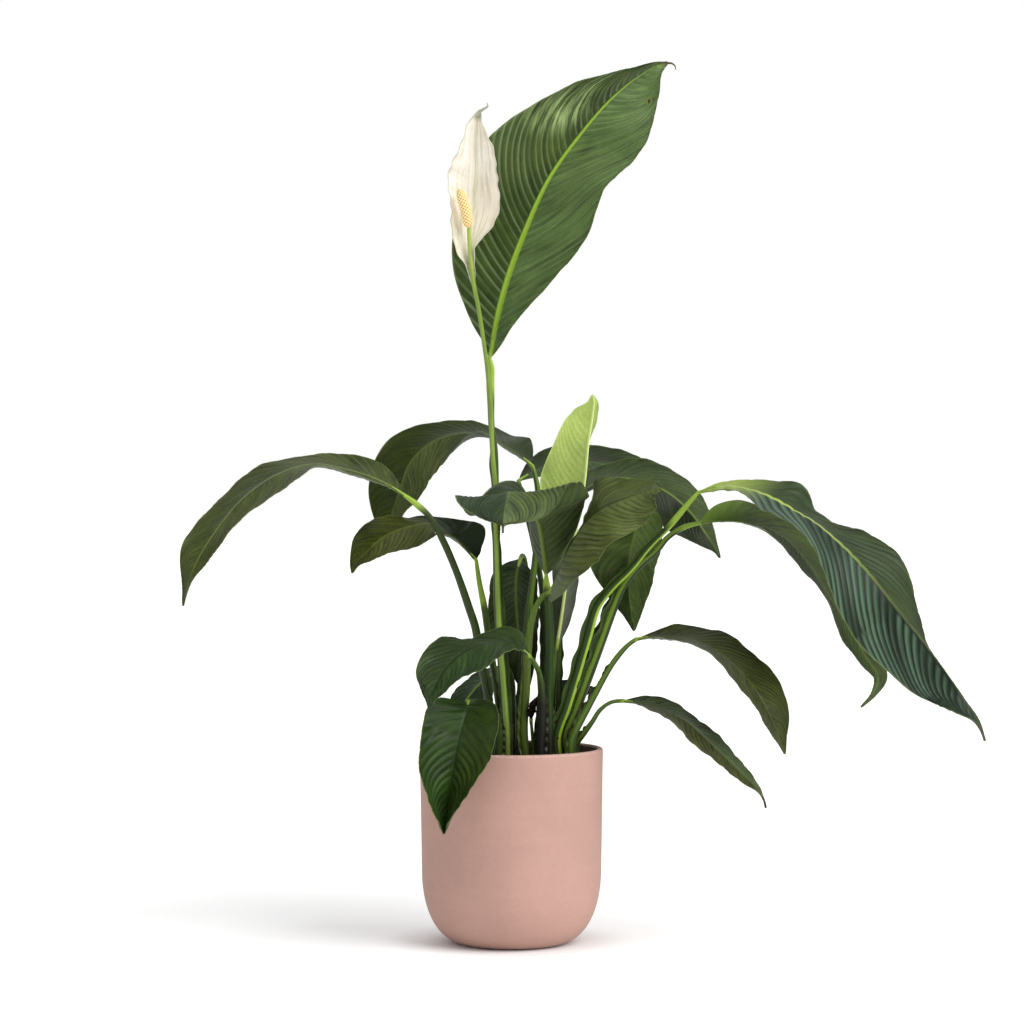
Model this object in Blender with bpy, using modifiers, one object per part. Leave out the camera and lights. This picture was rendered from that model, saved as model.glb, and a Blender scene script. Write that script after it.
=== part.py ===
"""Potted peace lily: a straight-sided pot with a rounded foot, potting mix, two crowns, arching leaves on
separate stems, and one flower (stalk, spathe, spadix). Axes: +X right, -Y front, +Z up; the origin is the
middle of the pot's flat base.

Every stem and blade is drawn on a front elevation, in millimetres, as it is seen from EYE. A station
(x, z, y, ...) is a point of that elevation pushed back by the depth y along its sight line, so the depth of a
piece can be set without changing its front outline."""

import math

import bpy
import bmesh
import numpy as np
from mathutils import Vector

MM = 0.001
EYE = np.array([0.0, -2720.0, 422.6])

POT_HEIGHT = 191.0
POT_RADIUS = 90.0
POT_WALL = 5.5
POT_CORNER_R = 43.2
POT_CORNER_H = 74.0
POT_BASE_R = 45.0
SOIL_TOP = 163.0
CROWN_HEIGHT = 9.0
GAP = 0.4
BLADE_THICKNESS = 0.8

# blade station: (x, z, y, left, right). left and right are the distances from the midrib to the two margins as
# they show on the elevation, left and right as seen travelling from base to tip; each half is tilted towards
# the eye (lean 1) or away from it (lean -1) until its true half width shows as that distance.
# A leaf with a side vector crosses the sight line: its two last numbers are the tilts of its halves in degrees.
# stem station: (x, z, y, radius). foot: (x, y, radius) on the crown.
LEAVES = {
    "upright_leaf": dict(
        half_width=76, form=(0.85, 0.75), arch=0.05, lean=(-1, 1),
        blade=[
            (-21.1, 575, -22, 1.5, 1.5), (-19.2, 584.9, -22, 6.9, 6.9), (-14.3, 609.4, -21, 27.5, 16.7),
            (-4.4, 648.8, -18, 55.1, 39.3), (13.3, 697.9, -10, 70.8, 56.1), (37.9, 751, 2, 73.8, 51.1),
            (67.4, 793.3, 14, 59, 56.1), (98.8, 829.7, 26, 34.4, 48.2), (126.4, 852.3, 34, 12.8, 29.5),
            (144.1, 862.2, 38, 3.9, 9.8), (153.9, 864.1, 40, 1, 1),
        ],
        foot=(-4, -12, 4.6),
        stem=[
            (-4.4, 203.3, -12, 4.6), (-7.4, 247.6, -13, 4.6), (-11.3, 306.6, -14, 4.5),
            (-13.3, 336.1, -15, 4.4), (-14.3, 375.4, -16, 3.9), (-15.2, 404.9, -17, 3.6),
            (-16.2, 454.1, -18, 3.9), (-17.2, 468.8, -18, 4.6), (-17.2, 488.5, -19, 3.4),
            (-19.2, 503.2, -19, 3.2), (-20.2, 532.7, -20, 3.4), (-20.7, 552.4, -21, 3.6),
            (-20.2, 566.2, -22, 3),
        ],
    ),
    "long_left_leaf": dict(
        half_width=46, form=(0.62, 0.95), arch=0.05, lean=(1, -1),
        blade=[
            (-105.7, 439.3, -20, 1.5, 2), (-124.4, 451.1, -26, 2, 13.8), (-158.8, 463.9, -38, 3, 13.8),
            (-198.2, 469.8, -50, 3.9, 8.9), (-227.7, 461, -60, 11.8, 13.8), (-262.1, 438.3, -75, 16.7, 15.7),
            (-291.6, 402.9, -88, 11.8, 19.7), (-308.3, 375.4, -97, 8.9, 18.7), (-318.1, 352.8, -102, 3, 5.9),
            (-323, 330.2, -106, 1, 1),
        ],
        foot=(-17, -6, 4.4),
        stem=[
            (-17.2, 203.3, -6, 4.4), (-24.1, 247.6, -8, 4.4), (-31, 282, -9, 4.4), (-35.9, 311.5, -10, 4.4),
            (-40.8, 326.2, -10, 4.2), (-54.6, 365.6, -12, 3.8), (-67.4, 395.1, -14, 3.6),
            (-80.1, 417.7, -17, 3), (-94.9, 431.5, -19, 2.8),
        ],
    ),
    "back_left_leaf": dict(
        half_width=44, form=(0.45, 0.8), arch=0.05, lean=(1, -1),
        blade=[
            (19.2, 468.8, 14, 1, 2), (10.3, 476.7, 18, 1, 5.9), (-1.5, 484.6, 24, 1, 19.7),
            (-21.1, 496.4, 34, 2, 9.8), (-50.6, 500.3, 44, 19.7, 9.8), (-80.1, 490.5, 54, 27.5, 17.7),
            (-99.8, 470.8, 62, 24.6, 30.5), (-108.7, 447.2, 67, 19.7, 32.5), (-115.5, 427.5, 70, 11.8, 26.6),
            (-121.4, 409.8, 72, 7.9, 13.8), (-125.4, 397, 73, 1, 1),
        ],
        foot=(11, 12, 4.2),
        stem=[
            (11.3, 203.3, 12, 4.2), (12.3, 247.6, 12, 4), (14.3, 296.7, 12, 3.8), (18.2, 336.1, 12, 3.5),
            (23.1, 375.4, 11, 3.2), (26.1, 414.7, 10, 2.8), (25.1, 449.2, 10, 2.6),
        ],
    ),
    "mid_left_leaf": dict(
        half_width=30, form=(0.5, 0.8), arch=0.05, lean=(1, -1),
        blade=[
            (-35.9, 376.4, 10, 1, 1), (-44.7, 386.2, 14, 1, 25.6), (-60.5, 400, 20, 2, 19.7),
            (-78.2, 410.8, 21, 8.9, 7.9), (-99.8, 408.8, 11, 19.7, 11.8), (-124.4, 399, 0, 19.7, 20.7),
            (-143.1, 382.3, -6, 10.8, 17.7), (-152.9, 370.5, -9, 3, 6.9), (-156.8, 362.6, -11, 1, 1),
        ],
        foot=(-9, 6, 3.8),
        stem=[
            (-9.3, 203.3, 6, 3.8), (-14.3, 247.6, 6, 3.7), (-22.1, 296.7, 5, 3.6), (-27, 331.1, 4, 3.3),
            (-31, 350.8, 3, 2.8),
        ],
    ),
    "front_centre_leaf": dict(
        half_width=59, form=(0.72, 0.62), arch=0.05, side=(1, 0, 0),
        blade=[
            (33.9, 361.6, -16, -65, -12), (31, 385.2, -23, -68, -22), (27, 408.8, -44, -72, -26),
            (19.2, 423.6, -74, -16, -9), (8.4, 436.4, -94, 2, -6), (-1.5, 442.8, -118, 6, -3),
            (-4.4, 434.4, -140, 16, 14), (-7.4, 420.6, -156, 22, 20), (-8.4, 409.8, -163, 22, 20),
            (-8.4, 401.9, -168, 10, 10),
        ],
        foot=(37, -10, 4.4),
        stem=[
            (36.9, 203.3, -10, 4.4), (36.9, 247.6, -11, 4.2), (37.9, 296.7, -12, 4), (36.9, 329.2, -14, 3.4),
            (34.9, 345.9, -15, 3.6),
        ],
    ),
    "big_centre_leaf": dict(
        half_width=48, form=(0.55, 0.7), arch=0.05, lean=(-1, 1),
        blade=[
            (38.8, 345.9, -28, 1, 1), (43.8, 357.7, -42, 0, 5.9), (57.5, 390.1, -63, 0, 24.6),
            (72.3, 412.8, -75, 7.9, 33.4), (87, 425.6, -84, 27.5, 34.4), (111.6, 436.4, -91, 18.7, 32.5),
            (131.3, 443.3, -94, 9.8, 23.6), (142.1, 446.2, -96, 3.9, 11.8), (147, 444.2, -97, 1, 1),
        ],
        foot=(15, -6, 4),
        stem=[
            (12.3, 203.3, -6, 4), (14.3, 247.6, -7, 4), (16.2, 286.9, -9, 3.8), (19.2, 311.5, -12, 3.4),
            (24.1, 329.2, -17, 2.9), (31, 340, -21, 2.8),
        ],
    ),
    "back_right_leaf": dict(
        half_width=44, form=(0.62, 0.95), arch=0.05, lean=(-1, 1),
        blade=[
            (59.5, 429.5, 84, 1, 1), (77.2, 448.2, 86, 13.8, 4.9), (101.8, 456, 89, 15.7, 11.8),
            (131.3, 452.1, 92, 21.6, 21.6), (157.8, 439.3, 95, 21.6, 27.5), (178.5, 419.6, 97, 16.7, 26.6),
            (193.2, 398, 99, 8.9, 12.8), (201.1, 385.2, 100, 3, 3), (205, 377.4, 100, 1, 1),
        ],
        foot=(44, 20, 3.8),
        stem=[
            (43.8, 203.3, 24, 3.8), (45.7, 247.6, 32, 3.6), (46.7, 296.7, 48, 3.4), (47.7, 345.9, 64, 3),
            (51.6, 390.1, 76, 2.8),
        ],
    ),
    "rear_leaf": dict(
        half_width=40, form=(0.62, 0.95), arch=0.05, lean=(-1, 1),
        blade=[
            (8.4, 454.1, 140, 1, 1), (28, 465.9, 144, 12.8, 11.8), (52.6, 471.8, 149, 16.7, 17.7),
            (87, 470.8, 155, 17.7, 19.7), (121.4, 460, 159, 15.7, 19.7), (150.9, 439.3, 162, 13.8, 15.7),
            (175.5, 414.7, 164, 1, 1),
        ],
        foot=(24, 30, 3.8),
        stem=[
            (27, 203.3, 34, 3.8), (32, 247.6, 45, 3.6), (32.9, 296.7, 64, 3.4), (30, 345.9, 90, 3.2),
            (21.1, 395.1, 114, 3), (12.3, 431.5, 133, 2.8),
        ],
    ),
    "young_leaf": dict(
        half_width=46, form=(0.62, 0.95), arch=0.05, lean=(-1, -1),
        blade=[
            (44.7, 290.8, 6, 1, 1), (48.7, 316.4, 7, 8.9, 9.8), (53.6, 350.8, 8, 13.8, 10.8),
            (61.5, 395.1, 10, 25.6, 3.9), (72.3, 452.1, 14, 44.3, 0), (76.2, 491.4, 16, 32.5, 0),
            (80.1, 518, 18, 21.6, 3.9), (81.1, 530.8, 19, 8.9, 3.9), (79.2, 537.7, 20, 1, 1),
        ],
        foot=(36, 9, 3.6),
        stem=[
            (37.9, 203.3, 8, 3.6), (40.8, 247.6, 7, 3.4), (42.8, 272.1, 6, 3.2),
        ],
    ),
    "hanging_right_leaf": dict(
        half_width=40, form=(0.62, 0.95), arch=0.05, lean=(-1, -1),
        blade=[
            (132.3, 441.3, 20, 1, 1), (127.3, 426.5, 18, 19.7, 15.7), (120.5, 400, 18, 27.5, 31.5),
            (115.5, 373.4, 16, 27.5, 39.3), (115.5, 345.9, 14, 20.7, 23.6), (117.5, 324.3, 12, 11.8, 8.9),
            (120.5, 305.6, 10, 1, 1),
        ],
        foot=(52, 14, 3.8),
        stem=[
            (53.6, 203.3, 15, 3.8), (62.4, 232.8, 18, 3.6), (77.2, 277.1, 24, 3.4), (91.9, 314.4, 36, 3.2),
            (107.7, 353.8, 48, 3), (122.4, 395.1, 52, 2.8), (135.2, 428.5, 48, 2.6), (137.2, 443.3, 36, 2.4),
        ],
    ),
    "long_right_leaf": dict(
        half_width=56, form=(0.55, 0.8), arch=0.05, lean=(-1, 1),
        blade=[
            (185.4, 442.3, -18, 1, 1), (207, 448.2, -26, 4.9, 3.9), (239.5, 443.3, -36, 13.8, 4.9),
            (266, 431.5, -46, 23.6, 14.8), (279.8, 423.6, -52, 10.8, 12.8), (295.5, 414.7, -58, 8.9, 14.8),
            (323, 392.1, -68, 25.6, 23.6), (352.5, 361.6, -78, 33.4, 41.3), (382, 324.3, -88, 16.7, 51.1),
            (406.6, 293.8, -96, 2, 46.2), (431.2, 260.3, -102, -1, 35.4), (448.9, 232.8, -106, 0, 13.8),
            (457.8, 219, -108, 1, 3.9), (465.6, 197.4, -111, 1, 1),
        ],
        foot=(46, -6, 4.8),
        stem=[
            (43.8, 198.4, -6, 4.8), (54.6, 232.8, -7, 4.8), (66.4, 272.1, -8, 4.8), (75.2, 301.6, -9, 4.6),
            (84.1, 330.2, -10, 4.4), (96.9, 346.9, -11, 4), (116.5, 366.5, -12, 3.6),
            (136.2, 390.1, -13, 3.2), (153.9, 407.8, -14, 3), (171.6, 428.5, -16, 2.8),
        ],
    ),
    "under_right_leaf": dict(
        half_width=42, form=(0.62, 0.95), arch=0.05, lean=(-1, 1),
        blade=[
            (185.4, 411.8, 10, 1, 1), (197.2, 413.7, 9, 11.8, 1), (214.9, 414.7, 8, 18.7, 1),
            (242.4, 410.8, 6, 17.7, 3), (269, 397, 4, 16.7, 6.9), (293.5, 370.5, 0, 17.7, 7.9),
            (315.2, 336.1, -4, 17.7, 4.9), (334.8, 304.6, -8, 15.7, 10.8), (350.6, 277.1, -12, 11.8, 7.9),
            (361.4, 259.4, -15, 7.9, 5.9), (356.5, 244.6, -18, 3, 3), (343.7, 230.8, -20, 1, 1),
        ],
        foot=(56, 1, 4.8),
        stem=[
            (53.6, 198.4, 1, 4.8), (64.4, 229.9, 1, 4.8), (77.2, 265.3, 2, 4.8), (89, 296.7, 3, 4.6),
            (98.8, 324.3, 4, 4.4), (108.7, 347.9, 5, 4), (126.4, 370.5, 6, 3.6), (142.1, 384.2, 7, 3.4),
            (153.9, 398, 8, 3), (169.6, 407.8, 9, 2.6),
        ],
    ),
    "lower_right_leaf": dict(
        half_width=40, form=(0.62, 0.95), arch=0.05, lean=(-1, 1),
        blade=[
            (124.4, 297.7, -20, 1, 1), (136.2, 299.7, -24, 4.9, 1), (150.9, 299.7, -28, 12.8, 1),
            (175.5, 297.7, -36, 12.8, 3), (197.2, 288.9, -44, 19.7, 5.9), (222.7, 269.2, -52, 21.6, 9.8),
            (244.4, 240.7, -58, 23.6, 9.8), (258.1, 214.1, -62, 16.7, 7.9), (265, 197.4, -64, 5.9, 3.9),
            (269, 184.6, -65, 1, 1),
        ],
        foot=(59, -13, 4),
        stem=[
            (59.5, 198.4, -13, 4), (69.3, 220, -13, 3.8), (82.1, 243.6, -14, 3.4), (92.9, 263.3, -15, 3),
            (104.7, 281, -16, 2.8), (114.6, 291.8, -18, 2.4),
        ],
    ),
    "lowest_right_leaf": dict(
        half_width=26, form=(0.62, 0.95), arch=0.05, lean=(-1, 1),
        blade=[
            (110.6, 236.7, -24, 1, 1), (126.4, 234.8, -30, 7.9, 1), (146, 229.9, -38, 9.8, 4.9),
            (170.6, 218.1, -48, 8.9, 9.8), (195.2, 196.4, -58, 9.8, 11.8), (219.8, 172.8, -66, 7.9, 8.9),
            (236.5, 156.1, -72, 3.9, 4.9), (244.4, 147.3, -75, 1.5, 1.5), (250.3, 131.5, -78, 1, 1),
        ],
        foot=(65, -3, 3.4),
        stem=[
            (63.4, 193.5, -4, 3.4), (71.3, 205.3, -8, 3), (79.2, 216.1, -12, 2.6), (88, 228.9, -16, 2.2),
            (98.8, 235.8, -20, 2),
        ],
    ),
    "lower_left_leaf": dict(
        half_width=38, form=(0.62, 0.95), arch=0.05, lean=(1, -1),
        blade=[
            (16.2, 282, -60, 1, 2), (6.4, 290.8, -66, 2, 13.8), (-8.4, 295.7, -74, 5.9, 6.9),
            (-31, 291.8, -86, 17.7, 12.8), (-50.6, 282, -96, 23.6, 25.6), (-65.4, 267.2, -104, 19.7, 27.5),
            (-75.2, 250.5, -110, 11.8, 19.7), (-80.1, 238.7, -113, 5.9, 4.9), (-81.1, 228.9, -115, 1, 1),
        ],
        foot=(28, -18, 4.4),
        stem=[
            (29, 203.3, -18, 4.4), (30, 232.8, -22, 4.2), (29, 252.5, -30, 3.4), (26.1, 267.2, -42, 2.6),
            (21.1, 276.1, -52, 2.4),
        ],
    ),
    "pot_front_leaf": dict(
        half_width=42, form=(0.8, 0.75), arch=0.05, lean=(1, 1),
        blade=[
            (-42.8, 235.8, -72, 3, 3), (-43.8, 228.9, -85, 26.6, 29.5), (-46.7, 218.1, -92, 33.4, 37.4),
            (-51.6, 201.3, -97, 35.4, 37.4), (-55.6, 182.7, -99, 32.5, 35.4),
            (-59.5, 159.1, -101, 23.6, 29.5), (-63.4, 134.5, -102, 9.8, 16.7),
            (-65.4, 119.7, -102, 3.9, 5.9), (-66.4, 106, -102, 1, 1),
        ],
        foot=(-14, -31, 3.8),
        stem=[
            (-12.3, 198.4, -33, 3.8), (-13.3, 216.1, -38, 3.4), (-17.2, 228.9, -46, 3),
            (-27, 235.8, -58, 2.6),
        ],
    ),
    "tucked_left_leaf": dict(
        half_width=24, form=(0.62, 0.95), arch=0.05, lean=(1, -1),
        blade=[
            (-6.4, 271.2, 29, 1, 1), (-19.2, 263.3, 31, 9.8, 5.9), (-32.9, 252.5, 31, 17.7, 11.8),
            (-44.7, 237.7, 29, 17.7, 13.8), (-52.6, 224, 25, 12.8, 11.8), (-56.5, 209.2, 21, 1, 1),
        ],
        foot=(1, 24, 3.4),
        stem=[
            (1.5, 203.3, 25, 3.4), (1.5, 237.7, 27, 3), (-0.5, 261.3, 28, 2.8),
        ],
    ),
    "inner_leaf": dict(
        half_width=31, form=(0.4, 0.8), arch=0.05, lean=(-1, -1),
        blade=[
            (8.4, 375.4, 46, 2, 2), (5.4, 363.6, 46, 17.7, 19.7), (4.4, 341, 45, 21.6, 26.6),
            (6.4, 311.5, 43, 20.7, 29.5), (9.3, 282, 40, 14.8, 21.6), (12.3, 257.4, 37, 7.9, 7.9),
            (14.3, 243.6, 35, 1, 1),
        ],
        foot=(8, 36, 3.6),
        stem=[
            (7.4, 203.3, 39, 3.6), (10.3, 247.6, 50, 3.4), (14.3, 296.7, 63, 3.2), (15.2, 336.1, 68, 3),
            (14.3, 365.6, 66, 2.8), (11.3, 379.3, 57, 2.6),
        ],
    ),
    "small_dark_leaf": dict(
        half_width=14, form=(0.62, 0.95), arch=0.05, lean=(-1, 1),
        blade=[
            (32.9, 243.6, 52, 1, 1), (43.8, 247.6, 53, 7.9, 5.9), (57.5, 248.5, 54, 8.9, 8.9),
            (70.3, 248.5, 55, 3.9, 7.9), (80.1, 250.5, 56, 1, 1),
        ],
        foot=(36, 33, 2.8),
        stem=[
            (34.9, 203.3, 37, 2.8), (31, 225.9, 46, 2.4),
        ],
    ),
    "withered_leaf": dict(
        half_width=8, form=(0.62, 0.95), arch=0.05, lean=(1, 1),
        blade=[
            (19.2, 219, -10, 1, 1), (19.2, 225.9, -10, 3, 3.9), (21.1, 232.8, -10, 3, 3.9),
            (26.1, 240.7, -10, 1, 1),
        ],
        foot=(22, -8, 2),
        stem=[
            (21.1, 193.5, -8, 1.8), (20.2, 206.3, -9, 1.6),
        ],
    ),
}
SPATHE = dict(
    half_width=30, form=(1.0, 0.8), arch=0.05, lean=(1, 1),
    blade=[
        (-36.9, 642.9, -26, 1.5, 1.5), (-39.8, 660.6, -24, 3.9, 3.9), (-41.8, 680.2, -22, 12.8, 7.9),
        (-39.8, 697.9, -20, 18.7, 16.7), (-36.9, 724.5, -19, 24.6, 24.6), (-35.9, 749.1, -19, 25.6, 23.6),
        (-34.9, 770.7, -21, 20.7, 17.7), (-34.9, 790.4, -24, 13.8, 12.8), (-33.9, 806.1, -27, 7.9, 5.9),
        (-31, 817.9, -30, 1, 1),
    ],
)
FLOWER_STALK = dict(
    foot=(-4, -21, 2.6),
    stem=[
        (-4.4, 203.3, -21, 2.6), (-7.4, 247.6, -22, 2.6), (-11.3, 296.7, -22, 2.6),
        (-13.3, 336.1, -22.5, 2.5), (-14.3, 375.4, -23, 2.4), (-15.2, 404.9, -24, 2.4),
        (-16.2, 454.1, -25.5, 2.4), (-17.7, 468.8, -26.5, 2.4), (-19.7, 503.2, -26.5, 2.4),
        (-20.7, 532.7, -27, 2.4), (-22.1, 547.5, -28, 2.3), (-24.1, 567.2, -29, 2.2),
        (-26.1, 581.9, -30, 2.1), (-29, 601.6, -31, 2.1), (-32.9, 626.2, -32, 2.1), (-36.9, 645.8, -33, 2.1),
        (-40.8, 680.2, -34, 2.1), (-41.8, 703.8, -34.5, 2.1),
    ],
)

def place(x, z, y):
    scale = (y - EYE[1]) / -EYE[1]
    return np.array([x * scale, y, EYE[2] + (z - EYE[2]) * scale])


def smooth(keys, values, at):
    """Cubic curve through values at keys, with slopes weighted by the spacing."""
    keys = np.asarray(keys, float)
    values = np.asarray(values, float).reshape(len(keys), -1)
    step = np.diff(keys)[:, None]
    chord = np.diff(values, axis=0) / step
    slope = np.empty_like(values)
    slope[1:-1] = (chord[:-1] * step[1:] + chord[1:] * step[:-1]) / (step[:-1] + step[1:])
    if len(keys) == 2:
        slope[0] = slope[-1] = chord[0]
    else:
        slope[0] = (3 * chord[0] - slope[1]) / 2
        slope[-1] = (3 * chord[-1] - slope[-2]) / 2
    at = np.asarray(at, float)
    i = np.clip(np.searchsorted(keys, at, side="right") - 1, 0, len(keys) - 2)
    h = step[i]
    t = ((at - keys[i]) / h[:, 0])[:, None]
    out = (
        (2 * t**3 - 3 * t**2 + 1) * values[i]
        + (t**3 - 2 * t**2 + t) * h * slope[i]
        + (3 * t**2 - 2 * t**3) * values[i + 1]
        + (t**3 - t**2) * h * slope[i + 1]
    )
    return out


def unit(v):
    return v / np.linalg.norm(v, axis=-1, keepdims=True)


def chord_keys(points):
    run = np.concatenate([[0], np.cumsum(np.linalg.norm(np.diff(points, axis=0), axis=1))])
    return run / run[-1]


def blade_surface(leaf, u, v):
    """Points of the blade's middle surface for lengths u (0 base, 1 tip) and widths v (-1 left, 1 right)."""
    rows = np.array(leaf["blade"], float)
    points = np.array([place(*row[:3]) for row in rows])
    keys = chord_keys(points)
    mid = smooth(keys, points, u)
    left, right = smooth(keys, rows[:, 3:], u).T
    ahead = smooth(keys, points, np.clip(u + 1e-3, 0, 1))
    behind = smooth(keys, points, np.clip(u - 1e-3, 0, 1))
    tangent = unit(ahead - behind)
    p, q = leaf["form"]
    peak = p / (p + q)
    w = np.clip(u, 1e-6, 1 - 1e-6)
    width = np.maximum(leaf["half_width"] * (w / peak) ** p * ((1 - w) / (1 - peak)) ** q, 2.0)
    if "side" in leaf:
        side = np.array(leaf["side"], float)
        side = unit(side - (tangent @ side)[:, None] * tangent)
        under = np.cross(side, tangent)
        left, right = np.radians(left)[:, None], np.radians(right)[:, None]
        to_left = -np.cos(left) * side + np.sin(left) * under
        to_right = np.cos(right) * side + np.sin(right) * under
        lift_left = np.cross(tangent, to_left)
        lift_right = np.cross(to_right, tangent)
    else:
        scale = (mid[:, 1] - EYE[1]) / -EYE[1]
        left, right = left * scale, right * scale
        width = np.maximum(width, 1.02 * np.maximum(abs(left), abs(right)))
        sight = unit(EYE - mid)
        front = unit(sight - (sight * tangent).sum(1, keepdims=True) * tangent)
        side = np.cross(front, tangent)
        cos_left, cos_right = (left / width)[:, None], (right / width)[:, None]
        lean_left, lean_right = leaf["lean"]
        to_left = cos_left * side + lean_left * np.sqrt(1 - cos_left**2) * front
        to_right = -cos_right * side + lean_right * np.sqrt(1 - cos_right**2) * front
        lift_left = np.cross(to_left, tangent)
        lift_right = np.cross(tangent, to_right)
    grid = np.empty((len(u), len(v), 3))
    for j, across in enumerate(v):
        t = abs(across)
        out, lift = (to_left, lift_left) if across < 0 else (to_right, lift_right)
        grid[:, j] = mid + width[:, None] * (t * out + leaf["arch"] * 4 * t * (1 - t) * lift)
    return grid


def stem_path(piece, count):
    """Points and radii of a stem, from its foot on the crown to the base of what it carries."""
    x, y, r = piece["foot"]
    low = SOIL_TOP + CROWN_HEIGHT + GAP
    points = [[x, y, low], [x, y, low + 5]]
    radii = [r, r]
    for row in piece["stem"]:
        at = place(*row[:3])
        if at[2] > low + 9:
            points.append(at)
            radii.append(row[3])
    if "blade" in piece:
        rows = piece["blade"]
        base, second = place(*rows[0][:3]), place(*rows[1][:3])
        points.append(base - unit(second - base) * 2.0)
        radii.append(1.8)
    points = np.array(points, float)
    keys = chord_keys(points)
    at = np.concatenate([[0, keys[1]], np.linspace(keys[1], 1, count)[1:]])
    return smooth(keys, points, at), smooth(keys, radii, at)[:, 0]


def material(name, colour, rough, **more):
    mat = bpy.data.materials.new(name)
    mat.use_nodes = True
    shader = mat.node_tree.nodes["Principled BSDF"]
    shader.inputs["Base Color"].default_value = (*colour, 1)
    shader.inputs["Roughness"].default_value = rough
    for key, value in more.items():
        shader.inputs[key].default_value = value
    return mat


def add(name, data, mat):
    obj = bpy.data.objects.new(name, data)
    collection.objects.link(obj)
    data.materials.append(mat)
    return obj


def add_blade(name, leaf, rows, columns, mat, thickness=BLADE_THICKNESS):
    """A grid bent over the blade's middle surface and thickened both ways."""
    u = np.linspace(0, 1, rows + 1)
    v = np.linspace(-1, 1, 2 * columns + 1)
    surface = blade_surface(leaf, u, v) * MM
    mesh = bpy.data.meshes.new(name)
    bm = bmesh.new()
    bmesh.ops.create_grid(bm, x_segments=rows, y_segments=2 * columns, size=1.0)
    for vert in bm.verts:
        i = round((vert.co.x + 1) / 2 * rows)
        j = round((vert.co.y + 1) / 2 * 2 * columns)
        vert.co = Vector(surface[i, j])
    bm.to_mesh(mesh)
    bm.free()
    mesh.polygons.foreach_set("use_smooth", [True] * len(mesh.polygons))
    obj = add(name, mesh, mat)
    solid = obj.modifiers.new("Thickness", "SOLIDIFY")
    solid.thickness = thickness * MM
    solid.offset = 0
    solid.use_rim = True
    return obj


def add_tube(name, points, radii, mat, sides=2):
    curve = bpy.data.curves.new(name, "CURVE")
    curve.dimensions = "3D"
    curve.bevel_depth = MM
    curve.bevel_resolution = sides
    curve.use_fill_caps = True
    spline = curve.splines.new("POLY")
    spline.points.add(len(points) - 1)
    for point, co, r in zip(spline.points, points, radii):
        point.co = (*(co * MM), 1)
        point.radius = r
    return add(name, curve, mat)


def add_lathe(name, profile, mat, steps=56):
    """Turns a closed (radius, height) profile, from the axis round to the axis, about +Z."""
    mesh = bpy.data.meshes.new(name)
    points = [(r * MM, 0, z * MM) for r, z in profile]
    mesh.from_pydata(points, [(i, i + 1) for i in range(len(points) - 1)], [])
    obj = add(name, mesh, mat)
    screw = obj.modifiers.new("Turn", "SCREW")
    screw.steps = screw.render_steps = steps
    screw.use_merge_vertices = True
    screw.merge_threshold = 0.00001
    screw.use_normal_calculate = True
    return obj


def corner(base_r, corner_r, corner_h, low, count):
    """Foot of the pot: a quarter of a superellipse that runs from the flat base into the wall."""
    out = []
    for k in range(count + 1):
        t = k / count * math.pi / 2
        out.append((
            base_r + corner_r * math.sin(t) ** (2 / 2.2),
            low + corner_h * (1 - math.cos(t) ** (2 / 2.2)),
        ))
    return out


for old in list(bpy.data.objects):
    bpy.data.objects.remove(old, do_unlink=True)
collection = bpy.data.collections.new("potted_peace_lily")
bpy.context.scene.collection.children.link(collection)
bpy.context.scene.unit_settings.system = "METRIC"

GREENS = {
    "upright_leaf": (0.052, 0.110, 0.036),
    "young_leaf": (0.330, 0.480, 0.110),
    "long_left_leaf": (0.055, 0.075, 0.024),
    "front_centre_leaf": (0.045, 0.100, 0.060),
    "pot_front_leaf": (0.026, 0.085, 0.028),
    "lower_left_leaf": (0.030, 0.085, 0.036),
    "withered_leaf": (0.020, 0.016, 0.010),
}
leaf_green = material("leaf_green", (0.045, 0.085, 0.024), 0.45)
stem_green = material("stem_green", (0.050, 0.105, 0.016), 0.45)
ceramic = material("pink_ceramic", (0.520, 0.300, 0.245), 0.75)
mix = material("potting_mix", (0.030, 0.018, 0.012), 0.95)
rhizome = material("crown_brown", (0.080, 0.060, 0.025), 0.85)
cream = material("spathe_cream", (0.830, 0.790, 0.680), 0.55)
yellow = material("spadix_yellow", (0.860, 0.640, 0.230), 0.6)

# pot: flat base, rounded foot, slightly widening wall, rounded rim, hollow
outer = corner(POT_BASE_R, POT_CORNER_R, POT_CORNER_H, 0, 10)
rim_r = POT_WALL / 2
profile = [(0, 0)] + outer
for k in range(1, 4):
    z = POT_CORNER_H + (POT_HEIGHT - rim_r - POT_CORNER_H) * k / 3
    profile.append((outer[-1][0] + (POT_RADIUS - outer[-1][0]) * k / 3, z))
for k in range(1, 6):
    t = math.pi * k / 6
    profile.append((POT_RADIUS - rim_r + rim_r * math.cos(t), POT_HEIGHT - rim_r + rim_r * math.sin(t)))
profile.append((POT_RADIUS - POT_WALL, POT_HEIGHT - rim_r))
inner = corner(POT_BASE_R, POT_CORNER_R - POT_WALL, POT_CORNER_H - 7, 7, 10)
profile += inner[::-1] + [(0, 7)]
add_lathe("pot", profile, ceramic)

# potting mix: fills the pot to below the rim, flat where the crowns sit, sunk a little at the wall
wall_at = lambda z: inner[-1][0] + (POT_RADIUS - POT_WALL - inner[-1][0]) * (z - POT_CORNER_H) / (POT_HEIGHT - rim_r - POT_CORNER_H)
soil = [(0, 7 + GAP)] + [(r - GAP, z + GAP) for r, z in inner[1:]]
soil += [(wall_at(SOIL_TOP - 4) - 0.6, SOIL_TOP - 4), (79, SOIL_TOP - 2.4), (76, SOIL_TOP), (0, SOIL_TOP)]
add_lathe("potting_mix", soil, mix, 48)

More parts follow.
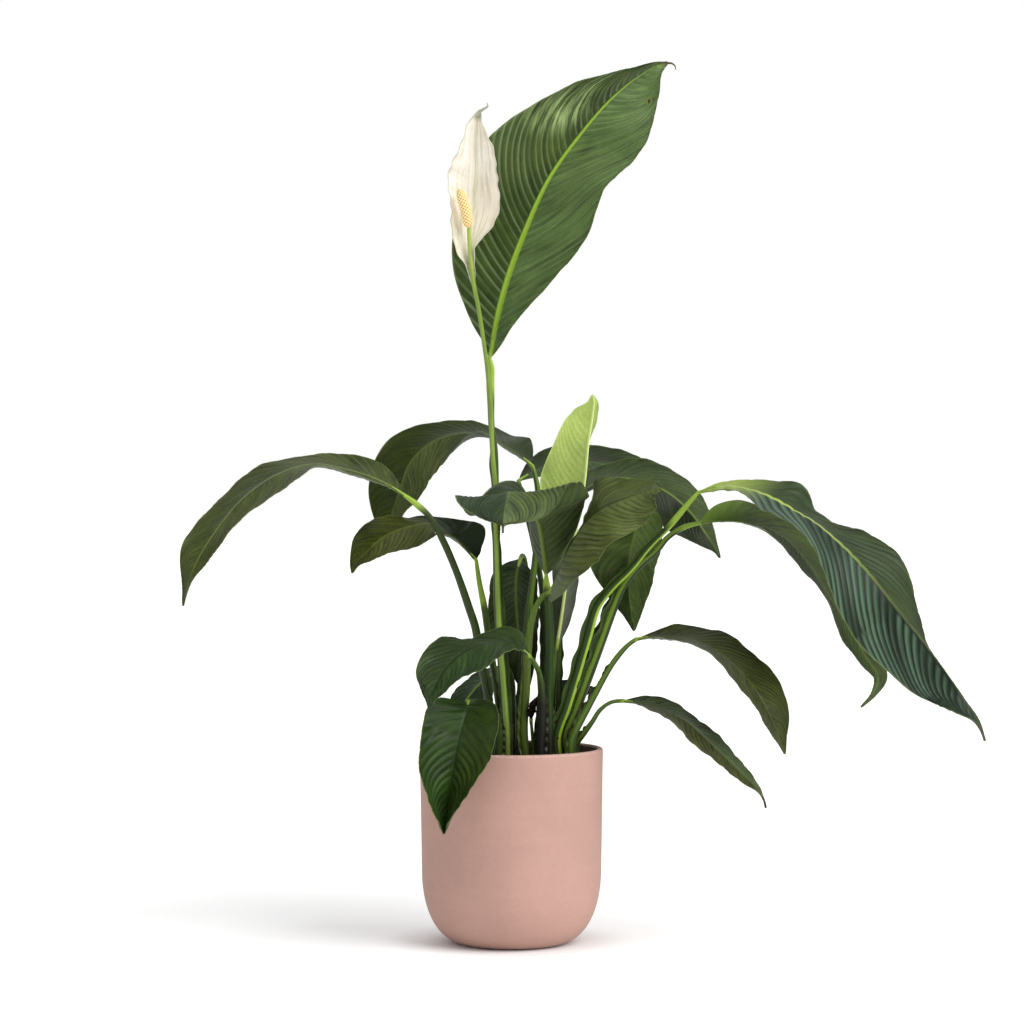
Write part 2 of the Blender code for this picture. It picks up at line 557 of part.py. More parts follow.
# crowns: two low rounded rhizome tops that the stems grow from
for name, x, half in (("crown_left", -3.5, 24), ("crown_right", 48, 26.5)):
    mesh = bpy.data.meshes.new(name)
    bm = bmesh.new()
    bmesh.ops.create_cone(bm, cap_ends=True, segments=36, radius1=1, radius2=1, depth=1)
    for vert in bm.verts:
        turn = math.atan2(vert.co.y, vert.co.x)
        c, s = math.cos(turn), math.sin(turn)
        reach = (abs(c) ** 3 + abs(s) ** 3) ** (-1 / 3)
        top = vert.co.z > 0
        vert.co = Vector((
            (x + half * reach * c) * MM,
            (4 + 40 * reach * s) * MM,
            (SOIL_TOP + (CROWN_HEIGHT if top else GAP)) * MM,
        ))
    bm.to_mesh(mesh)
    bm.free()
    crown = add(name, mesh, rhizome)
    bevel = crown.modifiers.new("Round", "BEVEL")
    bevel.width = 2.5 * MM
    bevel.segments = 2
    bevel.limit_method = "ANGLE"

# leaves: a stem and a blade each
for name, leaf in LEAVES.items():
    length = chord_keys(np.array([place(*row[:3]) for row in leaf["blade"]]))
    green = leaf_green
    if name in GREENS:
        green = material(name.replace("_leaf", "_green"), GREENS[name], 0.45)
    rows = {"upright_leaf": 22, "long_right_leaf": 26, "long_left_leaf": 20, "withered_leaf": 6, "small_dark_leaf": 8}.get(name, 16)
    columns = 3 if leaf["half_width"] > 30 else 2
    add_blade(name + "_blade", leaf, rows, columns, green)
    points, radii = stem_path(leaf, 12)
    add_tube(name + "_stem", points, radii, stem_green)

# flower
points, radii = stem_path(FLOWER_STALK, 22)
add_tube("flower_stalk", points, radii, stem_green)
add_blade("spathe", SPATHE, 16, 3, cream, 0.9)
top = points[-1]
spadix = []
spadix_r = []
for k in range(13):
    t = k / 12
    spadix.append(top + np.array([0, 0, 0.8]) + np.array([-9.5 * t, -9.0 * t, 35.0 * t]))
    spadix_r.append(max(1.6, 5.6 * min(1.0, math.sqrt(max(0.0, 1 - abs(2 * t - 1) ** 5))) * (1 - 0.1 * t)))
add_tube("spadix", np.array(spadix), spadix_r, yellow, 3)
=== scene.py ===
"""Looks of the potted peace lily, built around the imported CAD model."""

import math

import bpy
import numpy as np
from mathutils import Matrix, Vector


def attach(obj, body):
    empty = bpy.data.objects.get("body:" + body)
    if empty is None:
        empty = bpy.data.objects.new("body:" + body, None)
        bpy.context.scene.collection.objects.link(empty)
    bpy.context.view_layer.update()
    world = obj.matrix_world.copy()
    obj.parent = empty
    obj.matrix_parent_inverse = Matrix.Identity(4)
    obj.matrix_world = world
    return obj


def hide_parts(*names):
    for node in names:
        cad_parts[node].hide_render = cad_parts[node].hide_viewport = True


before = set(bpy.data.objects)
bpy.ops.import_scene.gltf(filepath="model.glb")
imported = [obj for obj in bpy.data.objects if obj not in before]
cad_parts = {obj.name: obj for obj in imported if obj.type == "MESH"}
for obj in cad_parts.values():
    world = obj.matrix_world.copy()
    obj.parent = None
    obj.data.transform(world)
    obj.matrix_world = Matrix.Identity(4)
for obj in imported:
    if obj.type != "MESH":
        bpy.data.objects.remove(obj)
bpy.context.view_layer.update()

MM = 0.001
EYE = np.array([0.0, -2720.0, 422.6])
POT_HEIGHT = 191.0
POT_RADIUS = 90.0
POT_WALL = 5.5
POT_CORNER_R = 43.2
POT_CORNER_H = 74.0
POT_BASE_R = 45.0
SOIL_TOP = 163.0
CROWN_HEIGHT = 9.0
GAP = 0.4

LEAVES = {
    "upright_leaf": dict(
        half_width=76, form=(0.85, 0.75), arch=0.05, lean=(-1, 1),
        blade=[
            (-21.1, 575, -22, 1.5, 1.5), (-19.2, 584.9, -22, 6.9, 6.9), (-14.3, 609.4, -21, 27.5, 16.7),
            (-4.4, 648.8, -18, 55.1, 39.3), (13.3, 697.9, -10, 70.8, 56.1), (37.9, 751, 2, 73.8, 51.1),
            (67.4, 793.3, 14, 59, 56.1), (98.8, 829.7, 26, 34.4, 48.2), (126.4, 852.3, 34, 12.8, 29.5),
            (144.1, 862.2, 38, 3.9, 9.8), (153.9, 864.1, 40, 1, 1),
        ],
        foot=(-4, -12, 4.6),
        stem=[
            (-4.4, 203.3, -12, 4.6), (-7.4, 247.6, -13, 4.6), (-11.3, 306.6, -14, 4.5),
            (-13.3, 336.1, -15, 4.4), (-14.3, 375.4, -16, 3.9), (-15.2, 404.9, -17, 3.6),
            (-16.2, 454.1, -18, 3.9), (-17.2, 468.8, -18, 4.6), (-17.2, 488.5, -19, 3.4),
            (-19.2, 503.2, -19, 3.2), (-20.2, 532.7, -20, 3.4), (-20.7, 552.4, -21, 3.6),
            (-20.2, 566.2, -22, 3),
        ],
    ),
    "long_left_leaf": dict(
        half_width=46, form=(0.62, 0.95), arch=0.05, lean=(1, -1),
        blade=[
            (-105.7, 439.3, -20, 1.5, 2), (-124.4, 451.1, -26, 2, 13.8), (-158.8, 463.9, -38, 3, 13.8),
            (-198.2, 469.8, -50, 3.9, 8.9), (-227.7, 461, -60, 11.8, 13.8), (-262.1, 438.3, -75, 16.7, 15.7),
            (-291.6, 402.9, -88, 11.8, 19.7), (-308.3, 375.4, -97, 8.9, 18.7), (-318.1, 352.8, -102, 3, 5.9),
            (-323, 330.2, -106, 1, 1),
        ],
        foot=(-17, -6, 4.4),
        stem=[
            (-17.2, 203.3, -6, 4.4), (-24.1, 247.6, -8, 4.4), (-31, 282, -9, 4.4), (-35.9, 311.5, -10, 4.4),
            (-40.8, 326.2, -10, 4.2), (-54.6, 365.6, -12, 3.8), (-67.4, 395.1, -14, 3.6),
            (-80.1, 417.7, -17, 3), (-94.9, 431.5, -19, 2.8),
        ],
    ),
    "back_left_leaf": dict(
        half_width=44, form=(0.45, 0.8), arch=0.05, lean=(1, -1),
        blade=[
            (19.2, 468.8, 14, 1, 2), (10.3, 476.7, 18, 1, 5.9), (-1.5, 484.6, 24, 1, 19.7),
            (-21.1, 496.4, 34, 2, 9.8), (-50.6, 500.3, 44, 19.7, 9.8), (-80.1, 490.5, 54, 27.5, 17.7),
            (-99.8, 470.8, 62, 24.6, 30.5), (-108.7, 447.2, 67, 19.7, 32.5), (-115.5, 427.5, 70, 11.8, 26.6),
            (-121.4, 409.8, 72, 7.9, 13.8), (-125.4, 397, 73, 1, 1),
        ],
        foot=(11, 12, 4.2),
        stem=[
            (11.3, 203.3, 12, 4.2), (12.3, 247.6, 12, 4), (14.3, 296.7, 12, 3.8), (18.2, 336.1, 12, 3.5),
            (23.1, 375.4, 11, 3.2), (26.1, 414.7, 10, 2.8), (25.1, 449.2, 10, 2.6),
        ],
    ),
    "mid_left_leaf": dict(
        half_width=30, form=(0.5, 0.8), arch=0.05, lean=(1, -1),
        blade=[
            (-35.9, 376.4, 10, 1, 1), (-44.7, 386.2, 14, 1, 25.6), (-60.5, 400, 20, 2, 19.7),
            (-78.2, 410.8, 21, 8.9, 7.9), (-99.8, 408.8, 11, 19.7, 11.8), (-124.4, 399, 0, 19.7, 20.7),
            (-143.1, 382.3, -6, 10.8, 17.7), (-152.9, 370.5, -9, 3, 6.9), (-156.8, 362.6, -11, 1, 1),
        ],
        foot=(-9, 6, 3.8),
        stem=[
            (-9.3, 203.3, 6, 3.8), (-14.3, 247.6, 6, 3.7), (-22.1, 296.7, 5, 3.6), (-27, 331.1, 4, 3.3),
            (-31, 350.8, 3, 2.8),
        ],
    ),
    "front_centre_leaf": dict(
        half_width=59, form=(0.72, 0.62), arch=0.05, side=(1, 0, 0),
        blade=[
            (33.9, 361.6, -16, -65, -12), (31, 385.2, -23, -68, -22), (27, 408.8, -44, -72, -26),
            (19.2, 423.6, -74, -16, -9), (8.4, 436.4, -94, 2, -6), (-1.5, 442.8, -118, 6, -3),
            (-4.4, 434.4, -140, 16, 14), (-7.4, 420.6, -156, 22, 20), (-8.4, 409.8, -163, 22, 20),
            (-8.4, 401.9, -168, 10, 10),
        ],
        foot=(37, -10, 4.4),
        stem=[
            (36.9, 203.3, -10, 4.4), (36.9, 247.6, -11, 4.2), (37.9, 296.7, -12, 4), (36.9, 329.2, -14, 3.4),
            (34.9, 345.9, -15, 3.6),
        ],
    ),
    "big_centre_leaf": dict(
        half_width=48, form=(0.55, 0.7), arch=0.05, lean=(-1, 1),
        blade=[
            (38.8, 345.9, -28, 1, 1), (43.8, 357.7, -42, 0, 5.9), (57.5, 390.1, -63, 0, 24.6),
            (72.3, 412.8, -75, 7.9, 33.4), (87, 425.6, -84, 27.5, 34.4), (111.6, 436.4, -91, 18.7, 32.5),
            (131.3, 443.3, -94, 9.8, 23.6), (142.1, 446.2, -96, 3.9, 11.8), (147, 444.2, -97, 1, 1),
        ],
        foot=(15, -6, 4),
        stem=[
            (12.3, 203.3, -6, 4), (14.3, 247.6, -7, 4), (16.2, 286.9, -9, 3.8), (19.2, 311.5, -12, 3.4),
            (24.1, 329.2, -17, 2.9), (31, 340, -21, 2.8),
        ],
    ),
    "back_right_leaf": dict(
        half_width=44, form=(0.62, 0.95), arch=0.05, lean=(-1, 1),
        blade=[
            (59.5, 429.5, 84, 1, 1), (77.2, 448.2, 86, 13.8, 4.9), (101.8, 456, 89, 15.7, 11.8),
            (131.3, 452.1, 92, 21.6, 21.6), (157.8, 439.3, 95, 21.6, 27.5), (178.5, 419.6, 97, 16.7, 26.6),
            (193.2, 398, 99, 8.9, 12.8), (201.1, 385.2, 100, 3, 3), (205, 377.4, 100, 1, 1),
        ],
        foot=(44, 20, 3.8),
        stem=[
            (43.8, 203.3, 24, 3.8), (45.7, 247.6, 32, 3.6), (46.7, 296.7, 48, 3.4), (47.7, 345.9, 64, 3),
            (51.6, 390.1, 76, 2.8),
        ],
    ),
    "rear_leaf": dict(
        half_width=40, form=(0.62, 0.95), arch=0.05, lean=(-1, 1),
        blade=[
            (8.4, 454.1, 140, 1, 1), (28, 465.9, 144, 12.8, 11.8), (52.6, 471.8, 149, 16.7, 17.7),
            (87, 470.8, 155, 17.7, 19.7), (121.4, 460, 159, 15.7, 19.7), (150.9, 439.3, 162, 13.8, 15.7),
            (175.5, 414.7, 164, 1, 1),
        ],
        foot=(24, 30, 3.8),
        stem=[
            (27, 203.3, 34, 3.8), (32, 247.6, 45, 3.6), (32.9, 296.7, 64, 3.4), (30, 345.9, 90, 3.2),
            (21.1, 395.1, 114, 3), (12.3, 431.5, 133, 2.8),
        ],
    ),
    "young_leaf": dict(
        half_width=46, form=(0.62, 0.95), arch=0.05, lean=(-1, -1),
        blade=[
            (44.7, 290.8, 6, 1, 1), (48.7, 316.4, 7, 8.9, 9.8), (53.6, 350.8, 8, 13.8, 10.8),
            (61.5, 395.1, 10, 25.6, 3.9), (72.3, 452.1, 14, 44.3, 0), (76.2, 491.4, 16, 32.5, 0),
            (80.1, 518, 18, 21.6, 3.9), (81.1, 530.8, 19, 8.9, 3.9), (79.2, 537.7, 20, 1, 1),
        ],
        foot=(36, 9, 3.6),
        stem=[
            (37.9, 203.3, 8, 3.6), (40.8, 247.6, 7, 3.4), (42.8, 272.1, 6, 3.2),
        ],
    ),
    "hanging_right_leaf": dict(
        half_width=40, form=(0.62, 0.95), arch=0.05, lean=(-1, -1),
        blade=[
            (132.3, 441.3, 20, 1, 1), (127.3, 426.5, 18, 19.7, 15.7), (120.5, 400, 18, 27.5, 31.5),
            (115.5, 373.4, 16, 27.5, 39.3), (115.5, 345.9, 14, 20.7, 23.6), (117.5, 324.3, 12, 11.8, 8.9),
            (120.5, 305.6, 10, 1, 1),
        ],
        foot=(52, 14, 3.8),
        stem=[
            (53.6, 203.3, 15, 3.8), (62.4, 232.8, 18, 3.6), (77.2, 277.1, 24, 3.4), (91.9, 314.4, 36, 3.2),
            (107.7, 353.8, 48, 3), (122.4, 395.1, 52, 2.8), (135.2, 428.5, 48, 2.6), (137.2, 443.3, 36, 2.4),
        ],
    ),
    "long_right_leaf": dict(
        half_width=56, form=(0.55, 0.8), arch=0.05, lean=(-1, 1),
        blade=[
            (185.4, 442.3, -18, 1, 1), (207, 448.2, -26, 4.9, 3.9), (239.5, 443.3, -36, 13.8, 4.9),
            (266, 431.5, -46, 23.6, 14.8), (279.8, 423.6, -52, 10.8, 12.8), (295.5, 414.7, -58, 8.9, 14.8),
            (323, 392.1, -68, 25.6, 23.6), (352.5, 361.6, -78, 33.4, 41.3), (382, 324.3, -88, 16.7, 51.1),
            (406.6, 293.8, -96, 2, 46.2), (431.2, 260.3, -102, -1, 35.4), (448.9, 232.8, -106, 0, 13.8),
            (457.8, 219, -108, 1, 3.9), (465.6, 197.4, -111, 1, 1),
        ],
        foot=(46, -6, 4.8),
        stem=[
            (43.8, 198.4, -6, 4.8), (54.6, 232.8, -7, 4.8), (66.4, 272.1, -8, 4.8), (75.2, 301.6, -9, 4.6),
            (84.1, 330.2, -10, 4.4), (96.9, 346.9, -11, 4), (116.5, 366.5, -12, 3.6),
            (136.2, 390.1, -13, 3.2), (153.9, 407.8, -14, 3), (171.6, 428.5, -16, 2.8),
        ],
    ),
    "under_right_leaf": dict(
        half_width=42, form=(0.62, 0.95), arch=0.05, lean=(-1, 1),
        blade=[
            (185.4, 411.8, 10, 1, 1), (197.2, 413.7, 9, 11.8, 1), (214.9, 414.7, 8, 18.7, 1),
            (242.4, 410.8, 6, 17.7, 3), (269, 397, 4, 16.7, 6.9), (293.5, 370.5, 0, 17.7, 7.9),
            (315.2, 336.1, -4, 17.7, 4.9), (334.8, 304.6, -8, 15.7, 10.8), (350.6, 277.1, -12, 11.8, 7.9),
            (361.4, 259.4, -15, 7.9, 5.9), (356.5, 244.6, -18, 3, 3), (343.7, 230.8, -20, 1, 1),
        ],
        foot=(56, 1, 4.8),
        stem=[
            (53.6, 198.4, 1, 4.8), (64.4, 229.9, 1, 4.8), (77.2, 265.3, 2, 4.8), (89, 296.7, 3, 4.6),
            (98.8, 324.3, 4, 4.4), (108.7, 347.9, 5, 4), (126.4, 370.5, 6, 3.6), (142.1, 384.2, 7, 3.4),
            (153.9, 398, 8, 3), (169.6, 407.8, 9, 2.6),
        ],
    ),
    "lower_right_leaf": dict(
        half_width=40, form=(0.62, 0.95), arch=0.05, lean=(-1, 1),
        blade=[
            (124.4, 297.7, -20, 1, 1), (136.2, 299.7, -24, 4.9, 1), (150.9, 299.7, -28, 12.8, 1),
            (175.5, 297.7, -36, 12.8, 3), (197.2, 288.9, -44, 19.7, 5.9), (222.7, 269.2, -52, 21.6, 9.8),
            (244.4, 240.7, -58, 23.6, 9.8), (258.1, 214.1, -62, 16.7, 7.9), (265, 197.4, -64, 5.9, 3.9),
            (269, 184.6, -65, 1, 1),
        ],
        foot=(59, -13, 4),
        stem=[
            (59.5, 198.4, -13, 4), (69.3, 220, -13, 3.8), (82.1, 243.6, -14, 3.4), (92.9, 263.3, -15, 3),
            (104.7, 281, -16, 2.8), (114.6, 291.8, -18, 2.4),
        ],
    ),
    "lowest_right_leaf": dict(
        half_width=26, form=(0.62, 0.95), arch=0.05, lean=(-1, 1),
        blade=[
            (110.6, 236.7, -24, 1, 1), (126.4, 234.8, -30, 7.9, 1), (146, 229.9, -38, 9.8, 4.9),
            (170.6, 218.1, -48, 8.9, 9.8), (195.2, 196.4, -58, 9.8, 11.8), (219.8, 172.8, -66, 7.9, 8.9),
            (236.5, 156.1, -72, 3.9, 4.9), (244.4, 147.3, -75, 1.5, 1.5), (250.3, 131.5, -78, 1, 1),
        ],
        foot=(65, -3, 3.4),
        stem=[
            (63.4, 193.5, -4, 3.4), (71.3, 205.3, -8, 3), (79.2, 216.1, -12, 2.6), (88, 228.9, -16, 2.2),
            (98.8, 235.8, -20, 2),
        ],
    ),
    "lower_left_leaf": dict(
        half_width=38, form=(0.62, 0.95), arch=0.05, lean=(1, -1),
        blade=[
            (16.2, 282, -60, 1, 2), (6.4, 290.8, -66, 2, 13.8), (-8.4, 295.7, -74, 5.9, 6.9),
            (-31, 291.8, -86, 17.7, 12.8), (-50.6, 282, -96, 23.6, 25.6), (-65.4, 267.2, -104, 19.7, 27.5),
            (-75.2, 250.5, -110, 11.8, 19.7), (-80.1, 238.7, -113, 5.9, 4.9), (-81.1, 228.9, -115, 1, 1),
        ],
        foot=(28, -18, 4.4),
        stem=[
            (29, 203.3, -18, 4.4), (30, 232.8, -22, 4.2), (29, 252.5, -30, 3.4), (26.1, 267.2, -42, 2.6),
            (21.1, 276.1, -52, 2.4),
        ],
    ),
    "pot_front_leaf": dict(
        half_width=42, form=(0.8, 0.75), arch=0.05, lean=(1, 1),
        blade=[
            (-42.8, 235.8, -72, 3, 3), (-43.8, 228.9, -85, 26.6, 29.5), (-46.7, 218.1, -92, 33.4, 37.4),
            (-51.6, 201.3, -97, 35.4, 37.4), (-55.6, 182.7, -99, 32.5, 35.4),
            (-59.5, 159.1, -101, 23.6, 29.5), (-63.4, 134.5, -102, 9.8, 16.7),
            (-65.4, 119.7, -102, 3.9, 5.9), (-66.4, 106, -102, 1, 1),
        ],
        foot=(-14, -31, 3.8),
        stem=[
            (-12.3, 198.4, -33, 3.8), (-13.3, 216.1, -38, 3.4), (-17.2, 228.9, -46, 3),
            (-27, 235.8, -58, 2.6),
        ],
    ),
    "tucked_left_leaf": dict(
        half_width=24, form=(0.62, 0.95), arch=0.05, lean=(1, -1),
        blade=[
            (-6.4, 271.2, 29, 1, 1), (-19.2, 263.3, 31, 9.8, 5.9), (-32.9, 252.5, 31, 17.7, 11.8),
            (-44.7, 237.7, 29, 17.7, 13.8), (-52.6, 224, 25, 12.8, 11.8), (-56.5, 209.2, 21, 1, 1),
        ],
        foot=(1, 24, 3.4),
        stem=[
            (1.5, 203.3, 25, 3.4), (1.5, 237.7, 27, 3), (-0.5, 261.3, 28, 2.8),
        ],
    ),
    "inner_leaf": dict(
        half_width=31, form=(0.4, 0.8), arch=0.05, lean=(-1, -1),
        blade=[
            (8.4, 375.4, 46, 2, 2), (5.4, 363.6, 46, 17.7, 19.7), (4.4, 341, 45, 21.6, 26.6),
            (6.4, 311.5, 43, 20.7, 29.5), (9.3, 282, 40, 14.8, 21.6), (12.3, 257.4, 37, 7.9, 7.9),
            (14.3, 243.6, 35, 1, 1),
        ],
        foot=(8, 36, 3.6),
        stem=[
            (7.4, 203.3, 39, 3.6), (10.3, 247.6, 50, 3.4), (14.3, 296.7, 63, 3.2), (15.2, 336.1, 68, 3),
            (14.3, 365.6, 66, 2.8), (11.3, 379.3, 57, 2.6),
        ],
    ),
    "small_dark_leaf": dict(
        half_width=14, form=(0.62, 0.95), arch=0.05, lean=(-1, 1),
        blade=[
            (32.9, 243.6, 52, 1, 1), (43.8, 247.6, 53, 7.9, 5.9), (57.5, 248.5, 54, 8.9, 8.9),
            (70.3, 248.5, 55, 3.9, 7.9), (80.1, 250.5, 56, 1, 1),
        ],
        foot=(36, 33, 2.8),
        stem=[
            (34.9, 203.3, 37, 2.8), (31, 225.9, 46, 2.4),
        ],
    ),
    "withered_leaf": dict(
        half_width=8, form=(0.62, 0.95), arch=0.05, lean=(1, 1),
        blade=[
            (19.2, 219, -10, 1, 1), (19.2, 225.9, -10, 3, 3.9), (21.1, 232.8, -10, 3, 3.9),
            (26.1, 240.7, -10, 1, 1),
        ],
        foot=(22, -8, 2),
        stem=[
            (21.1, 193.5, -8, 1.8), (20.2, 206.3, -9, 1.6),
        ],
    ),
}
SPATHE = dict(
    half_width=30, form=(1.0, 0.8), arch=0.05, lean=(1, 1),
    blade=[
        (-36.9, 642.9, -26, 1.5, 1.5), (-39.8, 660.6, -24, 3.9, 3.9), (-41.8, 680.2, -22, 12.8, 7.9),
        (-39.8, 697.9, -20, 18.7, 16.7), (-36.9, 724.5, -19, 24.6, 24.6), (-35.9, 749.1, -19, 25.6, 23.6),
        (-34.9, 770.7, -21, 20.7, 17.7), (-34.9, 790.4, -24, 13.8, 12.8), (-33.9, 806.1, -27, 7.9, 5.9),
        (-31, 817.9, -30, 1, 1),
    ],
)
FLOWER_STALK = dict(
    foot=(-4, -21, 2.6),
    stem=[
        (-4.4, 203.3, -21, 2.6), (-7.4, 247.6, -22, 2.6), (-11.3, 296.7, -22, 2.6),
        (-13.3, 336.1, -22.5, 2.5), (-14.3, 375.4, -23, 2.4), (-15.2, 404.9, -24, 2.4),
        (-16.2, 454.1, -25.5, 2.4), (-17.7, 468.8, -26.5, 2.4), (-19.7, 503.2, -26.5, 2.4),
        (-20.7, 532.7, -27, 2.4), (-22.1, 547.5, -28, 2.3), (-24.1, 567.2, -29, 2.2),
        (-26.1, 581.9, -30, 2.1), (-29, 601.6, -31, 2.1), (-32.9, 626.2, -32, 2.1), (-36.9, 645.8, -33, 2.1),
        (-40.8, 680.2, -34, 2.1), (-41.8, 703.8, -34.5, 2.1),
    ],
)

# ---------------------------------------------------------------- geometry

def place(x, z, y):
    scale = (y - EYE[1]) / -EYE[1]
    return np.array([x * scale, y, EYE[2] + (z - EYE[2]) * scale])


def smooth(keys, values, at):
    keys = np.asarray(keys, float)
    values = np.asarray(values, float).reshape(len(keys), -1)
    step = np.diff(keys)[:, None]
    chord = np.diff(values, axis=0) / step
    slope = np.empty_like(values)
    slope[1:-1] = (chord[:-1] * step[1:] + chord[1:] * step[:-1]) / (step[:-1] + step[1:])
    if len(keys) == 2:
        slope[0] = slope[-1] = chord[0]
    else:
        slope[0] = (3 * chord[0] - slope[1]) / 2
        slope[-1] = (3 * chord[-1] - slope[-2]) / 2
    at = np.asarray(at, float)
    i = np.clip(np.searchsorted(keys, at, side="right") - 1, 0, len(keys) - 2)
    h = step[i]
    t = ((at - keys[i]) / h[:, 0])[:, None]
    return (
        (2 * t**3 - 3 * t**2 + 1) * values[i]
        + (t**3 - 2 * t**2 + t) * h * slope[i]
        + (3 * t**2 - 2 * t**3) * values[i + 1]
        + (t**3 - t**2) * h * slope[i + 1]
    )


def unit(v):
    return v / np.maximum(np.linalg.norm(v, axis=-1, keepdims=True), 1e-12)


def chord_keys(points):
    run = np.concatenate([[0], np.cumsum(np.linalg.norm(np.diff(points, axis=0), axis=1))])
    return run / run[-1]


def blade_frame(leaf, u):
    """Midrib points, directions of the two halves, their lifts and the half width, at lengths u."""
    rows = np.array(leaf["blade"], float)
    points = np.array([place(*row[:3]) for row in rows])
    keys = chord_keys(points)
    mid = smooth(keys, points, u)
    left, right = smooth(keys, rows[:, 3:], u).T
    ahead = smooth(keys, points, np.clip(u + 1e-3, 0, 1))
    behind = smooth(keys, points, np.clip(u - 1e-3, 0, 1))
    tangent = unit(ahead - behind)
    p, q = leaf["form"]
    peak = p / (p + q)
    w = np.clip(u / (1 - leaf.get("tail", 0.0)), 1e-6, 1 - 1e-6)
    width = np.maximum(leaf["half_width"] * (w / peak) ** p * ((1 - w) / (1 - peak)) ** q, leaf.get("least", 1.0))
    if "side" in leaf:
        side = np.array(leaf["side"], float)
        side = unit(side - (tangent @ side)[:, None] * tangent)
        under = np.cross(side, tangent)
        left, right = np.radians(left)[:, None], np.radians(right)[:, None]
        to_left = -np.cos(left) * side + np.sin(left) * under
        to_right = np.cos(right) * side + np.sin(right) * under
        lift_left = np.cross(tangent, to_left)
        lift_right = np.cross(to_right, tangent)
    else:
        scale = (mid[:, 1] - EYE[1]) / -EYE[1]
        left, right = left * scale, right * scale
        width = np.maximum(width, 1.02 * np.maximum(abs(left), abs(right)))
        sight = unit(EYE - mid)
        front = unit(sight - (sight * tangent).sum(1, keepdims=True) * tangent)
        side = np.cross(front, tangent)
        cos_left, cos_right = (left / width)[:, None], (right / width)[:, None]
        lean_left, lean_right = leaf["lean"]
        to_left = cos_left * side + lean_left * np.sqrt(1 - cos_left**2) * front
        to_right = -cos_right * side + lean_right * np.sqrt(1 - cos_right**2) * front
        lift_left = np.cross(to_left, tangent)
        lift_right = np.cross(tangent, to_right)
    return mid, tangent, to_left, to_right, lift_left, lift_right, width


def midrib(leaf):
    rows = np.array(leaf["blade"], float)
    return np.array([place(*row[:3]) for row in rows])


def length_of(points):
    return float(np.linalg.norm(np.diff(points, axis=0), axis=1).sum())


HALF = [0.0, 0.010, 0.024, 0.045, 0.085, 0.15, 0.23, 0.32, 0.42, 0.52, 0.62, 0.72, 0.81, 0.89, 0.95, 1.0]


def stem_path(piece, count, into=0.0):
    x, y, r = piece["foot"]
    low = SOIL_TOP + CROWN_HEIGHT + GAP
    points = [[x, y, low], [x, y, low + 5]]
    radii = [r, r]
    for row in piece["stem"]:
        at = place(*row[:3])
        if at[2] > low + 9:
            points.append(at)
            radii.append(row[3])
    if "blade" in piece:
        rib = midrib(piece)
        base, second = rib[0], rib[1]
        points.append(base - unit(second - base) * 2.0)
        radii.append(min(1.9, radii[-1]))
    points = np.array(points, float)
    keys = chord_keys(points)
    at = np.linspace(0, 1, count)
    path, radius = smooth(keys, points, at), smooth(keys, radii, at)[:, 0]
    if "blade" in piece and into > 0:
        k = chord_keys(rib)
        more = np.linspace(0, into, 7)
        extra = smooth(k, rib, more)
        path = np.concatenate([path, extra])
        radius = np.concatenate([radius, np.linspace(1.75, 0.9, 7)])
    return path, radius


def path_frame(path, piece):
    """Tangent, outward (away from the leaf's inner side) and sideways directions along a stem."""
    tangent = unit(np.gradient(path, axis=0))
    lean = path[-1] - path[0]
    lean[2] = 0
    if np.linalg.norm(lean) < 8:
        lean = path[0] * np.array([1, 1, 0]) + np.array([0.01, -1, 0])
    lean = unit(lean)
    inner = -lean + np.array([0, 0, 0.6])
    inner = unit(inner - (tangent @ inner)[:, None] * tangent)
    side = np.cross(tangent, inner)
    return tangent, inner, side


# ---------------------------------------------------------------- materials

def linear(code):
    """Linear colour of an sRGB hex code."""
    out = []
    for i in (1, 3, 5):
        c = int(code[i:i + 2], 16) / 255
        out.append(c / 12.92 if c <= 0.04045 else ((c + 0.055) / 1.055) ** 2.4)
    return out


